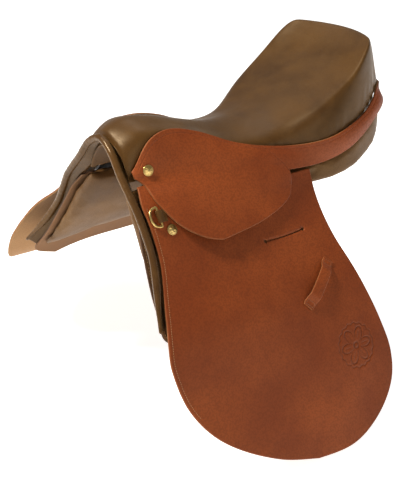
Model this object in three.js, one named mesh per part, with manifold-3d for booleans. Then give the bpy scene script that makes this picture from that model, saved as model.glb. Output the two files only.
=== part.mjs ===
// English saddle, close-contact pattern, in millimetres.
// The saddle's own drawing frame has its origin at the top of the front arch: +X is the near
// (left) side, +Y runs back towards the cantle and +Z is up.  The last group moves that origin
// to the line of the horse's spine below the deepest point of the seat.
import * as THREE from "three";
import Module from "manifold-3d";
import { mergeVertices } from "three/addons/utils/BufferGeometryUtils.js";

const wasm = await Module();
wasm.setup();

// ---------------------------------------------------------------- driving dimensions
const SEAT_DIP_Y = 220; // front arch to the deepest point of the seat
const SPINE_DROP = 120; // top of the arch down to the line of the spine
const GAP = 0.5; // clearance between pieces that touch
const COVER = 2.4; // seat leather
const FOAM = 11; // seat foam at its thickest
const FLAP = 4.2; // flap leather, below the drape surface
const SKIRT = 4; // skirt and cantle band leather
const SKIRT_LIFT = 1.2; // under side of the skirt, above the drape surface
const SWEAT_OUT = -17; // outer face of the sweat flap, measured from the drape surface
const SWEAT = 3; // sweat flap leather
const PANEL_OUT = -21.6; // outer face of the flocked panel
const STRAP_WIDTH = 26; // billets
const STRAP = 2.4;
const ROLL = 5.5; // radius of the roll round the front arch
const CHANNEL = 34; // half width of the channel between the panels
const STUD = 8.5; // radius of the brass studs
const RING_WIRE = 1.9; // radius of the D-ring wire
const SPLAY_TOP = 20; // distance from the arch over which the drape changes, front to back
const SPLAY_END = 270;

const DARK_LEATHER = 0x5a3820;
const TAN_LEATHER = 0x8b4426;
const BRASS = 0xc8a850;
const STEEL = 0x8a8c90;
const WOOD = 0xb08a5a;
const WEB = 0xb9a888;
const FOAM_COLOUR = 0xd8cfa8;

// ---------------------------------------------------------------- general helpers
const vec = (x, y, z) => new THREE.Vector3(x, y, z);
const clamp01 = (t) => Math.min(1, Math.max(0, t));
const lerp = (a, b, t) => a + (b - a) * t;
const smooth = (a, b, t) => {
  const k = clamp01((t - a) / (b - a));
  return k * k * (3 - 2 * k);
};

// A smooth plane curve through [a, b] pairs.
const planeCurve = (pairs) => {
  const curve = new THREE.SplineCurve(pairs.map(([a, b]) => new THREE.Vector2(a, b)));
  curve.arcLengthDivisions = 1200;
  return curve;
};

// A smooth curve in space through [x, y, z] triples.
const spaceCurve = (triples, closed = false) =>
  new THREE.CatmullRomCurve3(triples.map((p) => vec(...p)), closed, "catmullrom", 0.5);

function geometryFrom(points, triangles) {
  const geometry = new THREE.BufferGeometry();
  geometry.setAttribute("position", new THREE.Float32BufferAttribute(points.flat(), 3));
  geometry.setIndex(triangles.flat());
  return facingOut(geometry);
}

function facingOut(geometry) {
  const p = geometry.attributes.position;
  const index = geometry.index.array;
  let volume = 0;
  for (let i = 0; i < index.length; i += 3) {
    const [a, b, c] = [0, 1, 2].map((k) => vec(0, 0, 0).fromBufferAttribute(p, index[i + k]));
    volume += a.dot(b.cross(c));
  }
  if (volume < 0) {
    for (let i = 0; i < index.length; i += 3) {
      [index[i + 1], index[i + 2]] = [index[i + 2], index[i + 1]];
    }
  }
  geometry.computeVertexNormals();
  return geometry;
}

// A closed sheet between two equal grids of points, front[row][column] and back[row][column].
function sheet(front, back) {
  const rows = front.length;
  const columns = front[0].length;
  const points = [];
  for (const grid of [front, back]) {
    for (const row of grid) {
      for (const p of row) points.push([p.x, p.y, p.z]);
    }
  }
  const at = (side, r, c) => side * rows * columns + r * columns + c;
  const triangles = [];
  const quad = (a, b, c, d) => triangles.push([a, b, c], [a, c, d]);
  for (let r = 0; r < rows - 1; r += 1) {
    for (let c = 0; c < columns - 1; c += 1) {
      quad(at(0, r, c), at(0, r, c + 1), at(0, r + 1, c + 1), at(0, r + 1, c));
      quad(at(1, r, c), at(1, r + 1, c), at(1, r + 1, c + 1), at(1, r, c + 1));
    }
  }
  for (let c = 0; c < columns - 1; c += 1) {
    quad(at(0, 0, c), at(1, 0, c), at(1, 0, c + 1), at(0, 0, c + 1));
    const last = rows - 1;
    quad(at(0, last, c + 1), at(1, last, c + 1), at(1, last, c), at(0, last, c));
  }
  for (let r = 0; r < rows - 1; r += 1) {
    quad(at(0, r + 1, 0), at(1, r + 1, 0), at(1, r, 0), at(0, r, 0));
    const last = columns - 1;
    quad(at(0, r, last), at(1, r, last), at(1, r + 1, last), at(0, r + 1, last));
  }
  return geometryFrom(points, triangles);
}

// A solid through closed rings of points.  closed joins the last ring to the first.
function loft(rings, closed = false) {
  const count = rings[0].length;
  const points = rings.flat().map((p) => [p.x, p.y, p.z]);
  const triangles = [];
  const steps = closed ? rings.length : rings.length - 1;
  for (let r = 0; r < steps; r += 1) {
    const here = r * count;
    const there = ((r + 1) % rings.length) * count;
    for (let i = 0; i < count; i += 1) {
      const j = (i + 1) % count;
      triangles.push([here + i, here + j, there + j], [here + i, there + j, there + i]);
    }
  }
  if (!closed) {
    for (const [ring, flip] of [[0, true], [rings.length - 1, false]]) {
      const middle = rings[ring].reduce((sum, p) => sum.add(p), vec(0, 0, 0)).divideScalar(count);
      points.push([middle.x, middle.y, middle.z]);
      const m = points.length - 1;
      for (let i = 0; i < count; i += 1) {
        const a = ring * count + i;
        const b = ring * count + ((i + 1) % count);
        triangles.push(flip ? [m, b, a] : [m, a, b]);
      }
    }
  }
  return geometryFrom(points, triangles);
}

// A round or oval bar along a curve; up fixes how the oval lies.
function bar(curve, across, high, steps, sides, up, closed = false) {
  const rings = [];
  const count = closed ? steps : steps + 1;
  for (let k = 0; k < count; k += 1) {
    const t = k / steps;
    const centre = curve.getPointAt(t);
    const along = curve.getTangentAt(t);
    const side = vec(0, 0, 0).crossVectors(along, up(t)).normalize();
    const top = vec(0, 0, 0).crossVectors(side, along).normalize();
    const ring = [];
    for (let i = 0; i < sides; i += 1) {
      const angle = (i / sides) * Math.PI * 2;
      const p = centre.clone();
      p.addScaledVector(side, Math.cos(angle) * across(t));
      p.addScaledVector(top, Math.sin(angle) * high(t));
      ring.push(p);
    }
    rings.push(ring);
  }
  return loft(rings, closed);
}

function mirrored(geometry) {
  const copy = geometry.clone();
  copy.scale(-1, 1, 1);
  return facingOut(copy);
}

function manifoldOf(geometry) {
  const bare = geometry.clone();
  bare.deleteAttribute("normal");
  bare.deleteAttribute("uv");
  const merged = mergeVertices(bare, 1e-4);
  return new wasm.Manifold(new wasm.Mesh({
    numProp: 3,
    vertProperties: new Float32Array(merged.attributes.position.array),
    triVerts: new Uint32Array(merged.index.array),
  }));
}

function geometryOf(solid) {
  const mesh = solid.getMesh();
  const geometry = new THREE.BufferGeometry();
  geometry.setAttribute("position", new THREE.BufferAttribute(new Float32Array(mesh.vertProperties), 3));
  geometry.setIndex(new THREE.BufferAttribute(new Uint32Array(mesh.triVerts), 1));
  return facingOut(geometry);
}

const joined = (first, ...more) =>
  geometryOf(more.reduce((sum, g) => sum.add(manifoldOf(g)), manifoldOf(first)));
const cut = (first, ...tools) =>
  geometryOf(tools.reduce((rest, g) => rest.subtract(manifoldOf(g)), manifoldOf(first)));

function box(x0, x1, y0, y1, z0, z1) {
  const geometry = new THREE.BoxGeometry(x1 - x0, y1 - y0, z1 - z0);
  geometry.translate((x0 + x1) / 2, (y0 + y1) / 2, (z0 + z1) / 2);
  return geometry;
}

// ---------------------------------------------------------------- the drape of the flaps
// The leather on each side hangs from a fold line.  A profile is [distance out, depth] below the
// top of the arch; one profile holds at the front and one behind the skirt.
const NEAR_DRAPE = {
  front: planeCurve([
    [66, 54], [84, 68], [106, 92], [124, 123], [162, 180], [205, 235], [246, 330], [288, 420], [353, 560],
  ]),
  rear: planeCurve([
    [98, 80], [106, 100], [117, 125], [134, 155], [162, 195], [200, 245], [246, 330], [288, 420], [353, 560],
  ]),
};
// The off flap is bent outwards below the panel.
const OFF_DRAPE = {
  front: planeCurve([
    [66, 54], [86, 69], [114, 93], [148, 126], [196, 164], [226, 202], [259, 248], [299, 292],
    [360, 328], [450, 378], [530, 420],
  ]),
  rear: planeCurve([
    [98, 80], [112, 102], [134, 126], [168, 158], [200, 190], [230, 222], [262, 258], [299, 292],
    [360, 328], [450, 378], [530, 420],
  ]),
};

// Point on the drape: y along the saddle, s down the leather from the fold line.
function drapePoint(drape, y, s) {
  const front = drape.front.getPointAt(clamp01(s / drape.front.getLength()));
  const rear = drape.rear.getPointAt(clamp01(s / drape.rear.getLength()));
  const k = smooth(SPLAY_TOP, SPLAY_END, y);
  return vec(lerp(front.x, rear.x, k), y, -lerp(front.y, rear.y, k));
}

function drapeNormal(drape, y, s) {
  const from = Math.max(0.5, s);
  const down = drapePoint(drape, y, from + 2).sub(drapePoint(drape, y, from - 0.5));
  const back = drapePoint(drape, y + 2, from).sub(drapePoint(drape, y - 2, from));
  return vec(0, 0, 0).crossVectors(back, down).normalize().multiplyScalar(-1);
}

const onDrape = (drape, y, s, lift) =>
  drapePoint(drape, y, s).addScaledVector(drapeNormal(drape, y, s), lift);

// A piece of leather cut to a pattern and laid on the drape.  left and right are pattern curves of
// [y, s] pairs that run from the top corners down to a common lowest point.
function drapedSheet(drape, left, right, low, high, rows, columns) {
  const leftEdge = planeCurve(left);
  const rightEdge = planeCurve(right);
  const layers = [high, low].map((lift) => {
    const grid = [];
    for (let r = 0; r <= rows; r += 1) {
      const t = (r / rows) * 0.985;
      const a = leftEdge.getPointAt(t);
      const b = rightEdge.getPointAt(t);
      const row = [];
      for (let c = 0; c <= columns; c += 1) {
        const k = c / columns;
        row.push(onDrape(drape, lerp(a.x, b.x, k), lerp(a.y, b.y, k), lift));
      }
      grid.push(row);
    }
    return grid;
  });
  return sheet(layers[0], layers[1]);
}

// ---------------------------------------------------------------- seat
// Cross-sections of the seat leather, front to back: the centre line, the shoulder where the top
// turns down, and the lower edge at the seam.
const SEAT = [
  // centre y, z   shoulder x, y, z   seam x, y, z
  [3, 0, 22, 3, -8, 52, 7, -46],
  [10, 10, 25, 10, 2, 55, 14, -38],
  [38, 20, 28, 38, 13, 50, 42, -4],
  [80, 15, 24, 80, 9, 42, 82, 4],
  [130, 0, 28, 130, -5, 48, 130, -8],
  [190, -16, 40, 190, -25, 66, 190, -34],
  [260, -16, 60, 260, -26, 88, 260, -48],
  [330, 8, 94, 326, 4, 118, 332, -42],
  [400, 46, 108, 388, 42, 114, 400, -25],
  [450, 80, 100, 428, 80, 102, 440, -6],
  [474, 88, 84, 448, 88, 92, 456, 5],
  [487, 50, 76, 466, 46, 84, 469, 11],
  [492, 15, 66, 482, 13, 76, 478, 13],
];
const SHOULDER = 0.6; // share of each half cross-section that lies inside the shoulder

const stationCurve = (a, b, c) => spaceCurve(SEAT.map((row) => [a(row), b(row), c(row)]));
const CENTRE = stationCurve(() => 0, (r) => r[0], (r) => r[1]);
const SHOULDERS = stationCurve((r) => r[2], (r) => r[3], (r) => r[4]);
const SEAM = stationCurve((r) => r[5], (r) => r[6], (r) => r[7]);

// Point on the seat: t runs front to back, across runs -1 (off seam) to +1 (near seam).
function seatPoint(t, across) {
  const f = Math.abs(across);
  const centre = CENTRE.getPoint(t);
  const shoulder = SHOULDERS.getPoint(t);
  const seam = SEAM.getPoint(t);
  let p;
  if (f < SHOULDER) {
    const g = f / SHOULDER;
    const fall = g * g * (1.6 - 0.6 * g);
    p = vec(shoulder.x * g, lerp(centre.y, shoulder.y, g * g), lerp(centre.z, shoulder.z, fall));
  } else {
    const angle = ((f - SHOULDER) / (1 - SHOULDER)) * (Math.PI / 2);
    const slope = ((shoulder.z - centre.z) * 1.4) / shoulder.x;
    const z = lerp(seam.z, shoulder.z, Math.cos(angle)) + slope * (seam.x - shoulder.x) * Math.sin(2 * angle) * 0.25;
    p = vec(lerp(shoulder.x, seam.x, Math.sin(angle)), lerp(shoulder.y, seam.y, 1 - Math.cos(angle)), z);
  }
  if (across < 0) p.x = -p.x;
  return p;
}

function seatNormal(t, across) {
  const e = 0.004;
  const t0 = Math.min(Math.max(t, e), 1 - e);
  const a0 = Math.min(Math.max(across, e - 1), 1 - e);
  const along = seatPoint(t0 + e, a0).sub(seatPoint(t0 - e, a0));
  const side = seatPoint(t0, a0 + e).sub(seatPoint(t0, a0 - e));
  return vec(0, 0, 0).crossVectors(side, along).normalize();
}

const onSeat = (t, across, lift) => seatPoint(t, across).addScaledVector(seatNormal(t, across), lift);

// The cover and the foam share one grid of rows and columns, so that they nest.
const SEAT_ROWS = 32;
const SEAT_COLUMNS = 14;
function seatLayer(firstRow, lastRow, inset, outer, inner) {
  const layers = [outer, inner].map((depth) => {
    const grid = [];
    for (let r = firstRow; r <= lastRow; r += 1) {
      const t = r / SEAT_ROWS;
      const row = [];
      for (let c = inset; c <= SEAT_COLUMNS - inset; c += 1) {
        const across = (c / SEAT_COLUMNS) * 2 - 1;
        row.push(onSeat(t, across, depth(t, across)));
      }
      grid.push(row);
    }
    return grid;
  });
  return sheet(layers[0], layers[1]);
}

const seatCover = () => seatLayer(0, SEAT_ROWS, 0, () => 0, () => -COVER);

function seatFoam() {
  const thin = (t, across) => 1 - 0.75 * across ** 4 - 0.5 * smooth(0.25, 0, t);
  const top = (t) => -COVER - GAP * 2 - 3 * smooth(0.55, 0.75, t);
  return seatLayer(3, 21, 2, top, (t, across) => top(t) - FOAM * thin(t, across));
}

// ---------------------------------------------------------------- cantle band and skirts
// Lower edge of the fixed strip on the near side: the fold line of the skirt, then the bottom of
// the band round the cantle.
const BAND_BOTTOM = spaceCurve([
  [62, 11, -50],
  ...[24, 70, 125, 190, 235].map((y) => drapePoint(NEAR_DRAPE, y, 0).toArray()),
  [103, 265, -84], [112, 325, -82], [119, 384, -64], [107, 444, -33], [80, 483, -14], [0, 498, -12],
]);

const SEAM_AT_TIP = 0.012;

function bandEdges(u) {
  const side = u < 0.5 ? 1 : -1;
  const t = 1 - Math.abs(2 * u - 1);
  const bottom = BAND_BOTTOM.getPointAt(t);
  let top;
  const turn = 0.93;
  if (t < turn) {
    top = SEAM.getPointAt(lerp(SEAM_AT_TIP, 1, t / turn));
  } else {
    top = vec(lerp(76, 0, (t - turn) / (1 - turn)), 0, 10);
    top.y = 480 + 15 * (1 - (top.x / 76) ** 2);
  }
  bottom.x *= side;
  top.x *= side;
  return { top, bottom };
}

function cantleBand() {
  const steps = 52;
  const rows = 2;
  const inner = [];
  const outer = [];
  for (let k = 0; k <= steps; k += 1) {
    const { top, bottom } = bandEdges(k / steps);
    const before = bandEdges(Math.max(0, (k - 1) / steps));
    const after = bandEdges(Math.min(1, (k + 1) / steps));
    const along = after.bottom.clone().add(after.top).sub(before.bottom).sub(before.top);
    const down = bottom.clone().sub(top);
    const out = vec(0, 0, 0).crossVectors(down, along).normalize();
    if (out.dot(vec(top.x, top.y - 240, 0)) < 0) out.negate();
    const innerRow = [];
    const outerRow = [];
    for (let r = 0; r <= rows; r += 1) {
      const q = r / rows;
      const p = top.clone().lerp(bottom, q).addScaledVector(out, 3 * Math.sin(Math.PI * q) + GAP * 2);
      innerRow.push(p.clone());
      outerRow.push(p.clone().addScaledVector(out, SKIRT));
    }
    inner.push(innerRow);
    outer.push(outerRow);
  }
  return sheet(outer, inner);
}

// Pattern points of a quarter ellipse, from a side of the pattern round to its lowest point.
function quarterRound([sideY, sideS], [footY, footS], steps) {
  const points = [];
  for (let k = 1; k <= steps; k += 1) {
    const angle = (k / steps) * (Math.PI / 2);
    points.push([lerp(footY, sideY, Math.cos(angle)), lerp(sideS, footS, Math.sin(angle))]);
  }
  return points;
}

// The skirt: a round front, and a rear edge that falls to a tight corner.
const SKIRT_FRONT = [20, 8];
const SKIRT_FOOT = [106, 107];
const SKIRT_LEFT = [SKIRT_FRONT, ...quarterRound(SKIRT_FRONT, SKIRT_FOOT, 6)];
const SKIRT_RIGHT = [[264, 8], [262, 32], [246, 52], [180, 82], SKIRT_FOOT];

// The flap: a front edge that swells forwards over the knee, a rear edge that swells back, and a
// round foot.
const FLAP_FOOT = [160, 453];
const FLAP_FRONT = 2; // front edge above the knee, along the saddle
const KNEE = [-42, 270]; // foremost point
const KNEE_FROM = 90; // depth at which the front edge starts to swell
const FLAP_BACK = 310; // rear edge under the seat
const REAR = [352, 330]; // rearmost point
const REAR_FROM = 60;
const flapFront = (s) => lerp(FLAP_FRONT, KNEE[0], smooth(KNEE_FROM, KNEE[1], s));
const flapRear = (s) => lerp(FLAP_BACK, REAR[0], smooth(REAR_FROM, REAR[1], s));
const FLAP_LEFT = [
  [10, 6], ...[36, 64, 90, 126, 162, 198, 234, 270].map((s) => [flapFront(s), s]),
  ...quarterRound(KNEE, FLAP_FOOT, 5),
];
const FLAP_RIGHT = [
  [FLAP_BACK, 13], ...[60, 114, 168, 222, 276, 330].map((s) => [flapRear(s), s]),
  ...quarterRound(REAR, FLAP_FOOT, 4),
];

const skirt = (drape) => drapedSheet(drape, SKIRT_LEFT, SKIRT_RIGHT, SKIRT_LIFT, SKIRT_LIFT + SKIRT, 8, 10);

// The flap has two round holes joined by a fine cut, for a strap.
const SLIT = { from: [186, 110], to: [262, 100], holeRadius: 2.6, width: 1.2 };

function flap(drape) {
  const leather = drapedSheet(drape, FLAP_LEFT, FLAP_RIGHT, -FLAP, 0, 20, 10);
  const cutter = (y, s, radius) => {
    const centre = drapePoint(drape, y, s);
    const normal = drapeNormal(drape, y, s);
    const hole = new THREE.CylinderGeometry(radius, radius, 30, 12);
    hole.applyQuaternion(new THREE.Quaternion().setFromUnitVectors(vec(0, 1, 0), normal));
    hole.translate(centre.x, centre.y, centre.z);
    return hole;
  };
  const [y0, s0] = SLIT.from;
  const [y1, s1] = SLIT.to;
  const blade = sheet(...[1, -1].map((face) => [0, 1].map((edge) => [0, 0.25, 0.5, 0.75, 1].map((k) =>
    onDrape(drape, lerp(y0, y1, k), lerp(s0, s1, k) + (edge - 0.5) * SLIT.width, face * 8)))));
  return cut(leather, cutter(y0, s0, SLIT.holeRadius), cutter(y1, s1, SLIT.holeRadius), blade);
}

// ---------------------------------------------------------------- flap fittings
// The keeper is a strap sewn down at both ends and standing clear of the flap between them.
const KEEPER = { from: [214, 220], to: [284, 158], width: 18, thick: 2.6, rise: 7 };

function keeper(drape) {
  const steps = 12;
  const layers = [KEEPER.thick, 0].map((extra) => {
    const grid = [];
    for (let k = 0; k <= steps; k += 1) {
      const t = k / steps;
      const y = lerp(KEEPER.from[0], KEEPER.to[0], t);
      const s = lerp(KEEPER.from[1], KEEPER.to[1], t);
      const run = vec(KEEPER.to[0] - KEEPER.from[0], KEEPER.to[1] - KEEPER.from[1], 0).normalize();
      const lift = KEEPER.rise * smooth(0.06, 0.26, t) * smooth(0.94, 0.74, t) + GAP;
      const row = [];
      for (const across of [-0.5, 0, 0.5]) {
        const w = across * KEEPER.width;
        row.push(onDrape(drape, y - run.y * w, s + run.x * w, lift + extra));
      }
      grid.push(row);
    }
    return grid;
  });
  return sheet(layers[0], layers[1]);
}

// A domed stud head that stands on a point, facing along a normal.
function studHead(point, normal, radius, height) {
  const profile = [
    [0, 0], [radius * 0.94, 0], [radius, height * 0.3], [radius * 0.9, height * 0.62],
    [radius * 0.6, height * 0.9], [0, height],
  ];
  const head = new THREE.LatheGeometry(profile.map(([x, y]) => new THREE.Vector2(x, y)), 14);
  head.applyQuaternion(new THREE.Quaternion().setFromUnitVectors(vec(0, 1, 0), normal));
  head.translate(point.x, point.y, point.z);
  return facingOut(mergeVertices(stripped(head), 1e-4));
}

function stripped(geometry) {
  geometry.deleteAttribute("normal");
  geometry.deleteAttribute("uv");
  return geometry;
}

const SKIRT_STUD = { across: 0.045, down: 0.6 };
function skirtStud() {
  const k = SKIRT_STUD.across;
  const { top, bottom } = bandEdges(k / 2);
  const before = bandEdges(k / 2 - 0.01);
  const after = bandEdges(k / 2 + 0.01);
  const along = after.bottom.clone().add(after.top).sub(before.bottom).sub(before.top);
  const out = vec(0, 0, 0).crossVectors(bottom.clone().sub(top), along).normalize();
  if (out.x < 0) out.negate();
  const q = SKIRT_STUD.down;
  const lift = 3 * Math.sin(Math.PI * q) + GAP * 3 + SKIRT;
  return studHead(top.clone().lerp(bottom, q).addScaledVector(out, lift), out, STUD, 3.4);
}

const NAIL = [34, 80];
const nail = (drape) =>
  studHead(onDrape(drape, ...NAIL, GAP * 2), drapeNormal(drape, ...NAIL), STUD * 0.96, 3.2);

// The D-ring lies on the flap with its straight side towards the back, held by a leather chape.
const D_RING = { y: 19, s: 58, length: 30, reach: 18, lift: 3.4 };
function dRing(drape) {
  const half = D_RING.length / 2 - RING_WIRE;
  const out = D_RING.reach - RING_WIRE * 2;
  const path = [[0, -half], [0, -half / 2], [0, 0], [0, half / 2], [0, half], [3, half + 0.6]];
  for (let k = 1; k <= 7; k += 1) {
    const angle = Math.PI / 2 - (k / 8) * Math.PI;
    path.push([out * 0.35 + out * 0.65 * Math.cos(angle), half * Math.sin(angle)]);
  }
  path.push([3, -half - 0.6]);
  const curve = spaceCurve(path.map(([back, down]) =>
    onDrape(drape, D_RING.y - back, D_RING.s + down, D_RING.lift).toArray()), true);
  const up = drapeNormal(drape, D_RING.y, D_RING.s);
  return bar(curve, () => RING_WIRE, () => RING_WIRE, 26, 8, () => up, true);
}

function chape(drape) {
  const inner = RING_WIRE + 0.5;
  const thick = 1.6;
  const width = 17;
  const profile = [];
  for (let k = 0; k <= 8; k += 1) {
    const angle = -0.5 * Math.PI - (k / 8) * Math.PI;
    profile.push([Math.cos(angle), Math.sin(angle)]);
  }
  const loop = (radius) => profile.map(([a, b]) => [a * radius, b * radius]);
  const outline = [
    ...loop(inner + thick - 0.7).map(([a, b]) => [a, Math.max(b, 0.9 - D_RING.lift)]),
    [5.4, inner + thick - 1.6], [7.5, -0.6], [7.5, 0.9 - D_RING.lift],
  ];
  const bore = [...loop(inner), [3.4, inner - 0.6], [3.4, 0.1 - inner]];
  const place = ([back, lift], s) => onDrape(drape, D_RING.y + back, s, D_RING.lift + lift);
  const rings = [outline, bore].map((shape, cutHole) => {
    const reach = width / 2 + cutHole * 4;
    return [-reach, 0, reach].map((down) => shape.map((p) => place(p, D_RING.s + down)));
  });
  return cut(loft(rings[0]), loft(rings[1]));
}

// ---------------------------------------------------------------- front arch and panels
// The roll runs over the arch and down the front edge of both panels.
const ARCH_TOP = [[0, -3, -2], [30, -5, -15], [56, -7, -44]];
const ROLL_AHEAD = 10; // middle of the roll, ahead of the flap's front edge
const ROLL_LIFT = -3; // and from the drape surface
function archRoll() {
  const down = [40, 75, 110, 145, 180, 212].map((s) =>
    onDrape(NEAR_DRAPE, flapFront(s) - ROLL_AHEAD, s, ROLL_LIFT).toArray());
  const near = [...ARCH_TOP.slice(1), ...down];
  const off = near.map(([x, y, z]) => [-x, y, z]).reverse();
  const curve = spaceCurve([...off, ARCH_TOP[0], ...near]);
  const thin = (t) => ROLL * (0.45 + 0.55 * smooth(0, 0.12, t) * smooth(1, 0.88, t));
  return bar(curve, thin, thin, 44, 8, () => vec(0, 1, 0));
}

// A sheet bent over the arch: a half profile of [distance out, height], mirrored, and the
// distances along the saddle at which it has points.
function archSheet(profile, stations, thick, steps) {
  const path = planeCurve(profile);
  const layers = [0, -thick].map((lift) => {
    const grid = [];
    for (let k = -steps; k <= steps; k += 1) {
      const t = Math.abs(k) / steps;
      const p = path.getPointAt(t);
      const tangent = path.getTangentAt(t);
      const x = k === 0 ? 0 : Math.sign(k) * (p.x - tangent.y * lift);
      grid.push(stations.map((y) => vec(x, y, p.y + tangent.x * lift)));
    }
    return grid;
  });
  return sheet(layers[0], layers[1]);
}

// Leather facing that closes the arch behind the roll.
const ARCH_LINING = [[0, -13], [15, -17.5], [27, -28], [38, -43], [46, -60]];
const archLining = () => archSheet(ARCH_LINING, [4, 32, 62], 2.2, 9);

// Panel cross-sections on the near side, front to back: the inner top corner at the channel, the
// top and bottom of the outer face, and the fullness of the flocking.  Under the flap the outer
// face follows the drape, so it is given as two distances down it.
const PANEL = [
  // y   inner x, z   face from, to   bulge
  [0, 44, -64, 16, 222, 18],
  [12, 42, -64, 16, 218, 28],
  [55, 38, -64, 16, 204, 34],
  [110, 36, -66, 16, 180, 40],
  [165, 35, -72, 18, 148, 42],
  [215, 35, -80, 20, 112, 44],
  [258, 35, -82, 20, 66, 46],
];
const REAR_PANEL = [
  // y   inner x, z   outer top x, z   lower edge x, z   bulge
  [312, 35, -82, 92, -100, 100, -121, 46],
  [355, 35, -74, 102, -92, 109, -118, 46],
  [400, 35, -62, 104, -74, 109, -112, 44],
  [440, 36, -50, 95, -56, 100, -101, 42],
  [472, 38, -40, 82, -40, 90, -85, 36],
  [494, 43, -36, 68, -36, 74, -70, 26],
  [505, 49, -44, 61, -44, 63, -60, 12],
];
const FRONT_LEAN = planeCurve([[60, 0], [100, -7], [165, -17], [235, -31]]); // depth, y

function frontLean(y, z) {
  const depth = Math.min(235, Math.max(60, -z));
  return FRONT_LEAN.getPoint((depth - 60) / 175).y * (1 - smooth(0, 140, y));
}

// Ring of points round one cross-section: over the top, down the outer face, and back along the
// side that lies on the horse, which bellies away from the outer face.
function panelRing(y, xi, zi, face, bulge) {
  const [xo, zo] = face(0);
  const [xb, zb] = face(1);
  const [xc, zc] = [xi + 4, zi - bulge * 0.8];
  const length = Math.hypot(xc - xb, zc - zb);
  const belly = (t) => {
    const depth = bulge * 0.3 * Math.sin(Math.PI * t) ** 0.8;
    return [lerp(xb, xc, t) + ((zc - zb) / length) * -depth, lerp(zb, zc, t) - ((xb - xc) / length) * depth];
  };
  const pairs = [
    [xi, zi], [lerp(xi, xo, 0.5), lerp(zi, zo, 0.45)], [xo, zo], face(0.25), face(0.5), face(0.75),
    [xb, zb], belly(0.06), belly(0.3), belly(0.52), belly(0.72), belly(0.9),
    [xc, zc], [xi - 1, zi - bulge * 0.4],
  ];
  return pairs.map(([x, z]) => vec(x, y + frontLean(y, z), z));
}

function panel() {
  const rings = PANEL.map(([y, xi, zi, from, to, bulge]) => panelRing(y, xi, zi, (t) => {
    const p = onDrape(NEAR_DRAPE, y, lerp(from, to, t), PANEL_OUT);
    return [p.x, p.z];
  }, bulge));
  rings.push(...REAR_PANEL.map(([y, xi, zi, xo, zo, xb, zb, bulge]) =>
    panelRing(y, xi, zi, (t) => [lerp(xo, xb, t), lerp(zo, zb, t)], bulge)));
  const lines = rings[0].map((_, i) => spaceCurve(rings.map((ring) => ring[i].toArray())));
  const steps = 22;
  const fine = [];
  for (let k = 0; k <= steps; k += 1) fine.push(lines.map((line) => line.getPoint(k / steps)));
  return loft(fine);
}

const SWEAT_LEFT = [[2, 20], [-14, 104], [-26, 180], [-30, 225], [10, 250]];
const SWEAT_RIGHT = [[260, 20], [262, 60], [280, 104], [250, 150], [170, 200], [10, 250]];
const sweatFlap = () =>
  drapedSheet(NEAR_DRAPE, SWEAT_LEFT, SWEAT_RIGHT, SWEAT_OUT - SWEAT, SWEAT_OUT, 11, 8);

// The knee roll is a padded roll on the sweat flap, under the front of the flap.
function kneeRoll() {
  const route = [[14, 96], [8, 130], [0, 165], [-10, 200], [-12, 222]];
  const curve = spaceCurve(route.map(([y, s]) => onDrape(NEAR_DRAPE, y, s, -10.8).toArray()));
  const full = (t) => 0.35 + 0.65 * Math.sin(Math.PI * clamp01(t * 0.9 + 0.05)) ** 0.5;
  return bar(curve, (t) => 15 * full(t), (t) => 5 * full(t), 10, 10, () => drapeNormal(NEAR_DRAPE, 10, 140));
}

// ---------------------------------------------------------------- billets
const BILLET = { top: 14, end: 320, tip: 20 };
const BILLETS = [
  { name: "front", y: 112, out: -8.4 },
  { name: "middle", y: 158, out: -11.6 },
  { name: "rear", y: 204, out: -8.4 },
];

function billet(drape, y, out) {
  const half = STRAP_WIDTH / 2;
  const left = [[y - half, BILLET.top], [y - half, 160], [y - half, BILLET.end - BILLET.tip], [y, BILLET.end]];
  const right = left.map(([a, s]) => [2 * y - a, s]);
  return drapedSheet(drape, left, right, out - STRAP, out, 14, 2);
}

const GUARD_LEFT = [[92, 30], [92, 80], [98, 118], [118, 134], [158, 140]];
const GUARD_RIGHT = [[226, 30], [226, 80], [220, 116], [198, 134], [158, 140]];
const billetGuard = (drape) => drapedSheet(drape, GUARD_LEFT, GUARD_RIGHT, -7.6, -5.8, 8, 6);

// ---------------------------------------------------------------- tree
// The laminated tree is one ring: head, two rails and cantle.
const TREE = [
  // x, y, z of the centre line, half width, half height
  [0, 40, 0, 9, 5], [20, 41, -4.5, 9, 5], [31, 50, -12, 8, 6], [34, 72, -22, 8, 8],
  [34, 104, -29, 8, 9], [38, 145, -39, 9, 9], [43, 195, -51, 9, 8], [62, 262, -59, 11, 8],
  [84, 312, -54, 11, 8], [94, 360, -36, 10, 8], [92, 404, 0, 9, 9], [80, 432, 32, 8, 9],
  [46, 455, 53, 7, 9], [0, 465, 58, 7, 9],
];

function treeFrame() {
  const near = TREE.slice(1, -1);
  const stations = [TREE[0], ...near, TREE[TREE.length - 1], ...near.map(([x, ...r]) => [-x, ...r]).reverse()];
  const line = spaceCurve(stations.map(([x, y, z]) => [x, y, z]), true);
  const size = spaceCurve(stations.map((row) => [row[3], row[4], 0]), true);
  const steps = 52;
  const rings = [];
  for (let k = 0; k < steps; k += 1) {
    const t = k / steps;
    const centre = line.getPoint(t);
    const along = line.getTangent(t);
    const side = vec(0, 0, 0).crossVectors(along, vec(0, 0, 1)).normalize();
    const top = vec(0, 0, 0).crossVectors(side, along).normalize();
    const { x: half, y: high } = size.getPoint(t);
    rings.push([[1, 0.7], [0.8, 1], [-0.8, 1], [-1, 0.7], [-1, -0.7], [-0.8, -1], [0.8, -1], [1, -0.7]]
      .map(([a, b]) => centre.clone().addScaledVector(side, a * half).addScaledVector(top, b * high)));
  }
  return loft(rings, true);
}

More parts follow.
